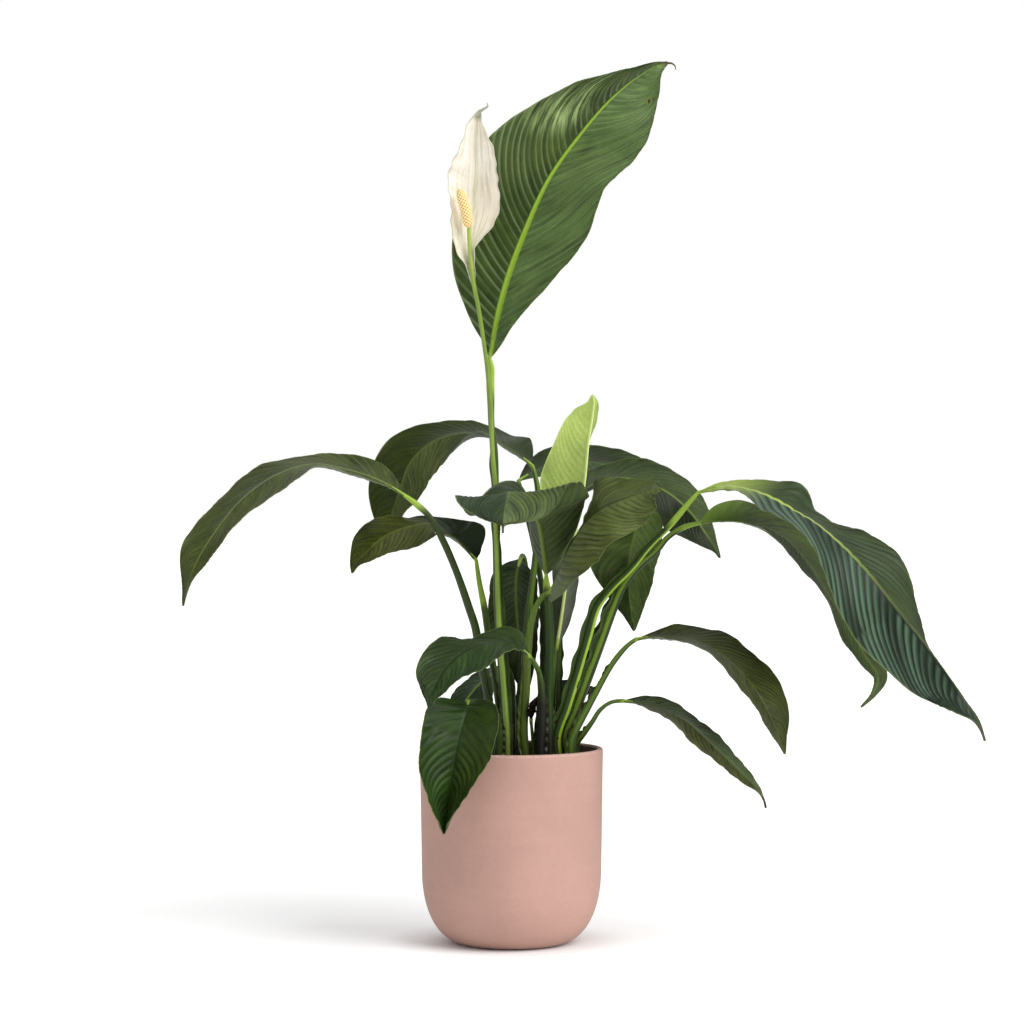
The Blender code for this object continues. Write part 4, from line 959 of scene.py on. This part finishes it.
def wing_data(path, radius, inner, side, start=0.0, end=0.5, turn=0.6, width=2.2, seed=0.0, curl=0.6, ripple=0.35, dry=0.0):
    n = 90
    s = np.linspace(start, end, n)
    keys = np.linspace(0, 1, len(path))
    c, r = smooth(keys, path, s), smooth(keys, radius, s)[:, 0]
    a, b = unit(smooth(keys, inner, s)), unit(smooth(keys, side, s))
    t = np.linspace(0, 1, n)
    grow = np.sin(np.pi * np.clip(t, 0.001, 0.999) ** 0.8) ** 0.6
    wav = 1 + ripple * np.sin(2 * np.pi * (5.3 * t + seed)) * t + 0.5 * ripple * np.sin(2 * np.pi * (13.1 * t + 2 * seed)) * t
    out0 = math.cos(turn) * a + math.sin(turn) * b
    tan0 = -math.sin(turn) * a + math.cos(turn) * b
    across = np.linspace(0, 1, 7)
    grid = np.empty((n, 7, 3))
    for j, x in enumerate(across):
        reach = r * 0.55 + (r * 0.45 + width * grow * wav) * x
        bend = curl * width * grow * x**2 * np.sin(2 * np.pi * (2.7 * t + seed)) * 0.9
        sway = 0.35 * width * grow * x * np.sin(2 * np.pi * (7.9 * t + 1.7 * seed))
        grid[:, j] = c + reach[:, None] * out0 + (bend + sway)[:, None] * tan0
    normal = unit(np.cross(np.gradient(grid, axis=0), np.gradient(grid, axis=1)))
    thick = (0.34 * (1 - 0.5 * across))[None, :, None]
    edge = np.broadcast_to(across[None, :], (n, 7))
    return sheet_data(grid + normal * thick, grid - normal * thick, {
        "edge": edge, "along": np.broadcast_to(s[:, None] * 0.8, (n, 7)), "dry": dry * edge**0.5,
    })


def curl_data(points, radius, along):
    """Thin dried end of a blade, rolled to a thread, through the given points."""
    points = np.array(points, float)
    n = 26
    s = np.linspace(0, 1, n)
    path = smooth(np.linspace(0, 1, len(points)), points, s)
    tangent = unit(np.gradient(path, axis=0))
    a = unit(np.cross(tangent, [0.0, 1.0, 0.0]))
    b = np.cross(tangent, a)
    r = radius * (1 - s) ** 0.7 + 0.22
    turn = np.linspace(0, 2 * np.pi, 10, endpoint=False)
    rings = np.stack([path + r[:, None] * (math.cos(t) * a + 0.6 * math.sin(t) * b) for t in turn], 1)
    full = np.ones((n, 10))
    return ring_piece("", rings, None, {"vein": 0.5 * full, "across": 0.0 * full, "along": along * full, "dist": 9.0 * full, "under": 0.0 * full})


def corner(base_r, corner_r, corner_h, low, count):
    out = []
    for k in range(count + 1):
        t = k / count * math.pi / 2
        out.append((base_r + corner_r * math.sin(t) ** (2 / 2.2), low + corner_h * (1 - math.cos(t) ** (2 / 2.2))))
    return out


def lathe_rings(profile, steps, wobble):
    turn = np.linspace(0, 2 * np.pi, steps, endpoint=False)
    p = np.array(profile, float)
    rings = np.empty((len(p), steps, 3))
    for i, (r, z) in enumerate(p):
        k = 1 + wobble * (0.6 * np.sin(3 * turn + z / 40) + 0.4 * np.sin(5 * turn - z / 23))
        rings[i, :, 0] = r * k * np.cos(turn)
        rings[i, :, 1] = r * k * np.sin(turn)
        rings[i, :, 2] = z
    return rings


def hashed(i, j=0):
    """Repeatable number from 0 to 1."""
    x = math.sin(i * 127.1 + j * 311.7 + 4.7) * 43758.5453
    return x - math.floor(x)


def pot_data():
    outer = corner(POT_BASE_R, POT_CORNER_R, POT_CORNER_H, 0, 44)
    rim_r = POT_WALL / 2
    profile = [(0.0, 1.2), (POT_BASE_R - 9, 1.2), (POT_BASE_R - 7.5, 0.4), (POT_BASE_R - 6.5, 0.0)] + outer
    # inside marks the inner wall and the inner half of the lip, which the ceramic paints dark as painted shade
    inside = [0.0] * len(profile)
    for k in range(1, 25):
        z = POT_CORNER_H + (POT_HEIGHT - rim_r - POT_CORNER_H) * k / 24
        profile.append((outer[-1][0] + (POT_RADIUS - outer[-1][0]) * k / 24, z))
        inside.append(0.0)
    for k in range(1, 16):
        t = math.pi * k / 16
        c, s = math.cos(t), math.sin(t)
        profile.append((
            POT_RADIUS - rim_r + rim_r * math.copysign(abs(c) ** 0.8, c),
            POT_HEIGHT - rim_r + rim_r * s ** 0.8,
        ))
        inside.append(0.0 if k < 11 else (k - 10) / 6)
    inner = corner(POT_BASE_R, POT_CORNER_R - POT_WALL, POT_CORNER_H - 7, 7, 16)
    wall = [(POT_RADIUS - POT_WALL, POT_HEIGHT - rim_r)]
    for k in range(1, 16):
        f = k / 16
        wall.append((
            (POT_RADIUS - POT_WALL) * (1 - f) + inner[-1][0] * f,
            (POT_HEIGHT - rim_r) * (1 - f) + inner[-1][1] * f,
        ))
    profile += wall + inner[::-1]
    inside += [1.0] * (len(wall) + len(inner))
    p = np.array(profile)
    # lighter on the foot, which rubs, and on a band round the top of the lip, which is a painted highlight
    foot_wear_and_lip_highlight = np.where((p[:, 1] < 3) & (np.array(inside) == 0), 0.8, 0.0) + np.where((p[:, 1] > POT_HEIGHT - 2.2), 0.55, 0.0)
    rings = lathe_rings(profile, 180, 0.0012)
    shape = rings.shape[:2]
    return ring_piece("", rings, None, {
        "inside": np.broadcast_to(np.array(inside)[:, None], shape),
        "foot_wear_and_lip_highlight": np.broadcast_to(foot_wear_and_lip_highlight[:, None], shape),
    })


def rough_at(points, scale, octaves=4, shift=0.0):
    """Repeatable lumpiness, from -1 to 1."""
    total, size = np.zeros(len(points)), 1.0
    for o in range(octaves):
        f = scale * 2**o
        for m in range(3):
            a = hashed(o * 3 + m, 1) * 6.283
            b = hashed(o * 3 + m, 2) * 6.283
            axis = np.array([math.cos(a), math.sin(a), 0.6 * math.sin(b)])
            other = np.array([-math.sin(a + 0.7), math.cos(a + 0.7), 0.5 * math.cos(b)])
            total += size / 3 * np.sin(points @ axis * f + b + shift + 1.3 * np.sin(points @ other * f * 0.73 + a))
        size *= 0.55
    return total / 1.9


def soil_bodies():
    """Lumpy surface of the mix, inside the pot, with loose chips of bark on it."""
    inner = corner(POT_BASE_R, POT_CORNER_R - POT_WALL, POT_CORNER_H - 7, 7, 14)
    wall_at = lambda z: inner[-1][0] + (POT_RADIUS - POT_WALL - inner[-1][0]) * (z - POT_CORNER_H) / (POT_HEIGHT - 2.75 - POT_CORNER_H)
    profile = [(r - GAP, z + GAP) for r, z in inner]
    for z in (90, 110, 130, 150):
        profile.append((wall_at(z) - 0.6, z))
    edge = wall_at(SOIL_TOP - 3) - 0.6
    profile.append((edge, SOIL_TOP - 3.5))
    start = len(profile)
    for k in range(1, 46):
        r = edge * (1 - k / 46)
        profile.append((r, SOIL_TOP - 2.4 * max(0.0, (r - 74) / (edge - 74))))
    rings = lathe_rings(profile, 150, 0.0)
    top = rings[start:].reshape(-1, 3)
    fade = np.clip((edge - np.hypot(top[:, 0], top[:, 1])) / 6, 0, 1)
    top[:, 2] += (1.3 * rough_at(top, 0.13) + 0.6 * rough_at(top, 0.6, 3, 2.0)) * fade - 0.3
    rings[start:] = top.reshape(rings[start:].shape)
    bodies = [ring_piece("", rings, None, {"chip": np.zeros(rings.shape[:2])})]
    for i in range(190):
        rad = 83 * math.sqrt(hashed(i, 3)) * 0.985
        turn = 6.283 * hashed(i, 4)
        x, y = rad * math.cos(turn), rad * math.sin(turn)
        size = 1.6 + 4.2 * hashed(i, 5) ** 2
        if rad + size > 82:
            continue
        a, b = 6.283 * hashed(i, 6), 1.2 * (hashed(i, 7) - 0.5)
        long_axis = np.array([math.cos(a) * math.cos(b), math.sin(a) * math.cos(b), math.sin(b)])
        flat_axis = unit(np.cross(long_axis, np.array([0.1, 0.2, 1.0]) + 0.6 * np.array([hashed(i, 8) - 0.5, hashed(i, 9) - 0.5, 0])))
        third = np.cross(long_axis, flat_axis)
        lat = np.linspace(-1.35, 1.35, 7)
        lon = np.linspace(0, 2 * np.pi, 10, endpoint=False)
        ring = np.empty((7, 10, 3))
        for m, la in enumerate(lat):
            for n, lo in enumerate(lon):
                jag = 0.78 + 0.42 * hashed(i * 70 + m * 10 + n, 10)
                c = abs(math.cos(la)) ** 0.6
                ring[m, n] = jag * size * (
                    math.sin(la) * long_axis
                    + c * math.cos(lo) * 0.62 * flat_axis
                    + c * math.sin(lo) * 0.34 * third
                )
        ring += np.array([x, y, SOIL_TOP + 0.15 * size + 0.6 * (hashed(i, 11) - 0.4)])
        bodies.append(ring_piece("", ring, None, {"chip": np.full((7, 10), 0.35 + 0.65 * hashed(i, 12))}))
    return bodies


def crown_bodies(x, half, seed):
    """Rough top of a rhizome, ringed by the scars of old leaves."""
    sides, rings_n = 96, 34
    turn = np.linspace(0, 2 * np.pi, sides, endpoint=False)
    c, s = np.cos(turn), np.sin(turn)
    reach = (np.abs(c) ** 3 + np.abs(s) ** 3) ** (-1 / 3)
    rings = np.empty((rings_n, sides, 3))
    for i in range(rings_n):
        t = i / (rings_n - 1)
        if t < 0.3:
            f, z = 1.0 - 0.06 * t / 0.3, SOIL_TOP - 2 + (CROWN_HEIGHT - 0.5) * t / 0.3
        else:
            g = (t - 0.3) / 0.7
            f, z = 0.94 * (1 - g * 0.97), SOIL_TOP + CROWN_HEIGHT - 2.5 + 2.4 * math.sin(min(1, g * 3) * math.pi / 2)
        rings[i, :, 0] = x + half * reach * c * f
        rings[i, :, 1] = 4 + 40 * reach * s * f
        rings[i, :, 2] = z
    flat = rings.reshape(-1, 3)
    out = flat - np.array([x, 4, SOIL_TOP - 6])
    out = unit(out)
    scar = 0.5 * np.sin(flat[:, 2] * 2.2 + 2 * rough_at(flat, 0.12, 2, seed))
    flat = flat + out * (0.9 * rough_at(flat, 0.16, 4, seed) + 0.4 * scar - 0.5)[:, None]
    return [ring_piece("", flat.reshape(rings.shape), None, {})]


def spadix_body(top):
    """Blunt spike covered in rows of small round flowers."""
    n, sides = 150, 110
    s = np.linspace(0, 1, n)
    foot = top + np.array([0, 0, -2.0])
    axis = np.array([-9.5, -9.0, 37.0])
    bend = np.array([1.2, -0.6, 0.0])
    path = foot + s[:, None] * axis + (4 * s * (1 - s))[:, None] * bend
    tangent = unit(np.gradient(path, axis=0))
    side = unit(np.cross(tangent, [0.0, 1.0, 0.0]))
    other = np.cross(tangent, side)
    radius = 5.3 * np.clip(1 - np.abs(2 * s - 1) ** 5.0, 0.0, 1) ** 0.5 * (1 - 0.13 * s)
    radius = np.maximum(radius, 0.4)
    turn = np.linspace(0, 2 * np.pi, sides, endpoint=False)
    rows = 23
    rings = np.empty((n, sides, 3))
    bead = np.empty((n, sides))
    for j, a in enumerate(turn):
        one = np.cos(8 * a + 2 * np.pi * s * rows * 0.5)
        two = np.cos(-8 * a + 2 * np.pi * s * rows * 0.5 + 0.5)
        b = np.clip(0.5 + 0.25 * (one + two), 0, 1) ** 0.8
        bead[:, j] = b
        ends = np.clip(np.minimum(s, 1 - s) * 12, 0.15, 1)
        r = radius + (0.95 * b - 0.35) * ends
        rings[:, j] = path + r[:, None] * (math.cos(a) * side + math.sin(a) * other)
    return ring_piece("", rings, None, {"bead": bead, "along": np.broadcast_to(s[:, None], (n, sides))})


# ---------------------------------------------------------------- looks of each leaf

WORLD = 0.62
SUNS = [
    ("key", (-0.76, 0.54, -0.76), 2.7, 48, (1.0, 0.99, 0.97)),
]

# the default dark vein colour is painted shade in the sunk side veins
COMMON = dict(left="#4a5a34", right="#4a5a34", vein="#2c3a1e", under="#5d6b42", rib_colour="#73863a", spec=0.22)
STEM_COMMON = dict(colour="#34481a", pale="#8fae3a", highlight_band_colour="#74962a", wings=(
    dict(start=0.0, end=0.50, turn=1.15, width=3.0, seed=0.1, ripple=0.2, curl=0.3),
    dict(start=0.0, end=0.54, turn=-1.15, width=3.0, seed=0.6, ripple=0.2, curl=0.3),
))
# the left and right colours of each leaf were fitted to how bright each half looks from the front, so they hold painted
# light and shade; the near-black halves are painted shade
LOOKS = {
    "upright_leaf": dict(left="#3a4b1d", right="#566c3b", vein="#84996a", rib_colour="#86a834", gap=9, rib=1.0,
        sweep=1.45, vein_show=0.38, vein_sides=(1.0, 0.7), vein_wide=0.26, streak=(0.5, 1.6),
        tip=(0.988, "#4a4426"), rib_w=2.6, rib_foot=1.7, rib_top=0.5, tail=0.02, rib_show=1.0,
        # the pale patch and the pale vein lines are painted highlights on the lit left half
        highlight_patch=(0.72, -0.62, 0.13, 0.55, "#93a86a"),
        spots=((0.885, 0.72, 7.0, "#5f6a34"), (0.885, 0.72, 3.4, "#2c2414"), (0.9, 0.84, 2.4, "#4a3a20")),
        vein_highlight_lines=((0.66, 0.34, "#8ea46a"), (0.6, 0.2, "#6f8a54")),
        curl_tip=((-3, 0, 1), (0, 0, 0), (4, 0, -0.5), (7, 0, -3), (7.5, 0, -7))),
    "long_left_leaf": dict(rib_show=0.45, left="#434f1d", right="#424c21", vein="#6b7350", rib_colour="#8c9655",
        gap=7),
    # the dark bases of back_left_leaf and mid_left_leaf are painted shade deep among the other leaves
    "back_left_leaf": dict(rib_show=0.3, vein_show=0.6, base=(0.28, 0.5, "#2a351b"), left="#515d2f",
        right="#313d0a", vein="#2f3a20"),
    "mid_left_leaf": dict(rib_show=0.25, base=(0.28, 0.42, "#18240e"), left="#4a5127", right="#39410a"),
    "front_centre_leaf": dict(left="#3d4c33", right="#536239", vein="#1f3328", gap=7, rib=1.2, rib_end=0.2,
        tail=0.05, vein_wide=0.25, vein_show=0.6),
    # its dark rib colour is painted shade along the fold at the midrib
    "big_centre_leaf": dict(left="#515b2e", right="#5f6937", vein="#3a4626", base=(0.05, 0.25, "#6c7a55"),
        rib_colour="#2c3820", rib_show=0.8, vein_show=0.6, rib=1.3),
    "back_right_leaf": dict(left="#3a4920", right="#1f290b", rib_colour="#6f8a34", rib_show=0.6),
    "rear_leaf": dict(rib_show=0.2, vein_show=0.2, left="#293616", right="#42543a"),
    # the dark base of the young leaf is painted shade
    "young_leaf": dict(left="#c4d876", right="#aec462", vein="#c8dc84", under="#b4cc6c", under_mix=0.0,
        rib_colour="#d0e08c", margin="#c4d888", yellow=0.1, panel_sheen=0.1, rib=0.3, gap=8, streak=(0.93, 1.05),
        vein_show=0.1, base=(0.25, 0.5, "#444d36"), rib_w=3.2, rib_show=1.0, rib_end=0.95),
    "hanging_right_leaf": dict(rib_show=0.3, vein_show=0.25, left="#465824", right="#48592c"),
    "long_right_leaf": dict(left="#303d19", right="#1a241a", vein="#547059", panel_sheen=0.1, streak=(0.45, 1.4),
        rib_w=2.4, rib_foot=1.8, rib_top=0.5, rib_end=0.25, rib_gone=0.6, rib_colour="#9fb356", gap=12, rib=2.0,
        sweep=1.7, vein_wide=0.5, vein_show=0.8, vein_sides=(0.25, 1.0), base=(0.05, 0.2, "#8ea346"),
        tip=(0.955, "#3a3420")),
    "under_right_leaf": dict(left="#404f1d", right="#43581d", rib_show=0.5, vein_show=0.2,
        base=(0.02, 0.2, "#6f8c34"), tip=(0.985, "#4a3a20")),
    "lower_right_leaf": dict(rib_show=0.2, vein_show=0.15, panel_sheen=0.15, left="#3d4618", right="#444a2a"),
    "lowest_right_leaf": dict(rib_show=0.2, vein_show=0.15, panel_sheen=0.15, left="#4a5a34", right="#41461e",
        tip=(0.93, "#2a2016")),
    "lower_left_leaf": dict(left="#354b24", right="#384926", gap=8, rib=1.3, rib_colour="#1c2a16", rib_show=0.8,
        vein="#22331c", vein_show=0.3),
    "pot_front_leaf": dict(left="#2f4016", right="#2b4217", vein="#23371f", vein_show=0.3, gap=8, rib=1.5,
        rib_colour="#2a4226", rib_show=0.5),
    "tucked_left_leaf": dict(left="#36492c", right="#36492c"),
    "inner_leaf": dict(left="#303d1c", right="#33431f", gap=4.5, vein="#10180a", vein_show=0.8, rib=1.2,
        rib_colour="#5c7030", rib_show=0.6),
    "small_dark_leaf": dict(left="#1e2a14", right="#1e2a14"),
    "withered_leaf": dict(left="#2a2218", right="#241c12", vein="#3a2e1c", under="#2a2218", margin="#1a1410",
        rib_colour="#3a2e1c", rib=1.2, wave=2.2, yellow=0.0),
}
# stem colours were fitted the same way and hold painted light and shade too
STEMS = {
    "flower_stalk": dict(colour="#86a040", pale="#9ab04e", highlight_band_colour="#a8c050", wings=(), into=0,
        channel=0.05),
    "front_centre_leaf": dict(foot=1.0, foot_from=0.12, foot_to=0.3, foot_colour="#1c1a10", geni=0.85,
        pale="#9ab840",
        wings=({"dry": 1.0, "end": 0.36, "ripple": 0.5, "seed": 0.1, "start": 0.0, "turn": 0.9, "width": 5.0}, {"dry": 1.0, "end": 0.3, "ripple": 0.5, "seed": 0.6, "start": 0.0, "turn": -0.9, "width": 4.0}),
        colour="#2b470a"),
    "long_right_leaf": dict(highlight_band_colour="#9cc030", highlight_band=0.85, highlight_band_from=0.8, turn=2.6, geni=0.78,
        margin_colour="#4c6222", margin=0.4,
        wings=({"curl": 0.15, "end": 0.7, "ripple": 0.12, "seed": 0.1, "start": 0.0, "turn": 0.75, "width": 4.6}, {"curl": 0.15, "end": 0.74, "ripple": 0.12, "seed": 0.6, "start": 0.0, "turn": -0.75, "width": 5.0}),
        colour="#283f0a"),
    "under_right_leaf": dict(highlight_band_colour="#7a9a2c", highlight_band=0.7, geni=0.84, pale="#86a43c",
        margin_colour="#4c6222", margin=0.4, highlight_band_from=0.7,
        wings=({"curl": 0.05, "end": 0.76, "ripple": 0.08, "seed": 0.3, "start": 0.0, "turn": 0.75, "width": 9.0}, {"curl": 0.05, "end": 0.72, "ripple": 0.08, "seed": 0.9, "start": 0.0, "turn": -0.75, "width": 9.0}),
        colour="#2c3e14"),
    # its stem is darkened to near black from 0.4 to 0.82 of its length
    "lower_left_leaf": dict(highlight_band_colour="#7f9c34", foot=1.0, foot_from=0.4, foot_to=0.82,
        foot_colour="#15140a", colour="#4a6322"),
    "lower_right_leaf": dict(
        wings=({"end": 0.5, "seed": 0.1, "start": 0.0, "turn": 0.75, "width": 2.4}, {"dry": 0.7, "end": 0.74, "ripple": 0.9, "seed": 0.6, "start": 0.0, "turn": -0.75, "width": 3.4})),
    "lowest_right_leaf": dict(
        wings=({"dry": 1.0, "end": 0.45, "ripple": 0.9, "seed": 0.1, "start": 0.0, "turn": 0.75, "width": 3.2}, {"dry": 1.0, "end": 0.42, "ripple": 0.9, "seed": 0.6, "start": 0.0, "turn": -0.75, "width": 3.2})),
    "upright_leaf": dict(bulges=((0.56, 0.35, 0.03),), colour="#3e5720", highlight_band_colour="#6f8c30", highlight_band=0.3,
        geni=0.82),
    "mid_left_leaf": dict(colour="#465c1e", highlight_band_colour="#86a03a", geni=0.7),
    "long_left_leaf": dict(geni=0.84, colour="#30430a"),
    "big_centre_leaf": dict(colour="#596e26"),
}

STEM_FIELDS = ("along", "angle", "edge", "dry")
LEAF_FIELDS = ("vein", "across", "along", "dist", "under")

for i, (name, leaf) in enumerate(LEAVES.items()):
    look = dict(COMMON)
    look.update(LOOKS.get(name, {}))
    leaf["tail"] = look.get("tail", 0.0)
    look.setdefault("seed", 0.37 * i)
    look["long"], look["wide"] = length_of(midrib(leaf)), leaf["half_width"]
    bodies = [blade_data(leaf, look)]
    if "curl_tip" in look:
        end = midrib(leaf)[-1]
        reach = [end + np.array(step) for step in look["curl_tip"]]
        bodies.append(curl_data(reach, 1.1, 1.0))
    blade = make(name + "_blade_fine", bodies, leaf_material(name + "_skin", look), LEAF_FIELDS)
    place_piece(blade, name + "_blade")
    stem_look = dict(STEM_COMMON)
    stem_look.update(STEMS.get(name, {}))
    stem_look.setdefault("seed", 0.61 * i)
    stem = make(name + "_stem_fine", stem_data(leaf, stem_look), stem_material(name + "_stem_skin", stem_look), STEM_FIELDS)
    place_piece(stem, name + "_stem")

stalk_look = dict(STEM_COMMON)
stalk_look.update(STEMS["flower_stalk"])
stalk = make("flower_stalk_fine", stem_data(FLOWER_STALK, stalk_look), stem_material("flower_stalk_skin", stalk_look), STEM_FIELDS)
place_piece(stalk, "flower_stalk")
stalk_path, _ = stem_path(FLOWER_STALK, 40)
spathe_look = dict(gap=6.0, rib=0.3, wave=2.6, waves=2.6, swell=1.2, keel=0.9, sweep=0.4, seed=0.2, long=100, wide=30, pucker=1.1)
spathe_end = midrib(SPATHE)[-1]
spathe_curl = curl_data([spathe_end + np.array(step) for step in ((-3, 0, -7), (0, 0, -1.5), (4, -1, 1.0), (7.5, -1.5, 3.5), (6.5, -1.5, 7))], 1.6, 1.0)
spathe = make("spathe_fine", [blade_data(SPATHE, spathe_look), spathe_curl], spathe_material(), LEAF_FIELDS)
place_piece(spathe, "spathe")
spadix = make("spadix_fine", [spadix_body(stalk_path[-1])], spadix_material(), ("bead", "along"))
place_piece(spadix, "spadix")

pot = make("pot_fine", [pot_data()], ceramic_material(), ("inside", "foot_wear_and_lip_highlight"))
place_piece(pot, "pot")
soil = make("potting_mix_fine", soil_bodies(), soil_material(), ("chip",))
place_piece(soil, "potting_mix")
crown_skin = crown_material()
for node, x, half, seed in (("crown_left", -3.5, 24, 0.0), ("crown_right", 48, 26.5, 1.7)):
    place_piece(make(node + "_fine", crown_bodies(x, half, seed), crown_skin, ()), node)

# ---------------------------------------------------------------- floor, light, camera

mesh = bpy.data.meshes.new("studio_floor")
mesh.from_pydata([(-60, -60, 0), (60, -60, 0), (60, 60, 0), (-60, 60, 0)], [], [(0, 1, 2, 3)])
floor = bpy.data.objects.new("studio_floor", mesh)
bpy.context.scene.collection.objects.link(floor)
mesh.materials.append(floor_material())

world = bpy.data.worlds.new("studio")
bpy.context.scene.world = world
world.use_nodes = True
tree = world.node_tree
back = tree.nodes["Background"]
back.inputs["Color"].default_value = (1.0, 1.0, 1.0, 1)
back.inputs["Strength"].default_value = WORLD
seen = tree.nodes.new("ShaderNodeBackground")
seen.inputs["Color"].default_value = (1.0, 1.0, 1.0, 1)
seen.inputs["Strength"].default_value = 1.0
mixer = tree.nodes.new("ShaderNodeMixShader")
ray = tree.nodes.new("ShaderNodeLightPath")
tree.links.new(ray.outputs["Is Camera Ray"], mixer.inputs[0])
tree.links.new(back.outputs[0], mixer.inputs[1])
tree.links.new(seen.outputs[0], mixer.inputs[2])
tree.links.new(mixer.outputs[0], tree.nodes["World Output"].inputs["Surface"])


def sun(name, direction, strength, angle, tint=(1, 1, 1)):
    lamp = bpy.data.lights.new(name, "SUN")
    lamp.energy = strength
    lamp.angle = math.radians(angle)
    lamp.color = tint
    obj = bpy.data.objects.new(name, lamp)
    obj.rotation_euler = Vector(direction).to_track_quat("-Z", "Y").to_euler()
    bpy.context.scene.collection.objects.link(obj)


for lamp in SUNS:
    sun(*lamp)

camera = bpy.data.cameras.new("camera")
camera.sensor_width = 36
camera.lens = 97.24
camera.clip_start = 0.05
camera.clip_end = 200
eye = bpy.data.objects.new("camera", camera)
eye.location = (0.0005, -2.72, 0.4226)
eye.rotation_euler = (math.radians(90), 0, 0)
bpy.context.scene.collection.objects.link(eye)
bpy.context.scene.camera = eye
bpy.context.scene.view_settings.view_transform = "Standard"
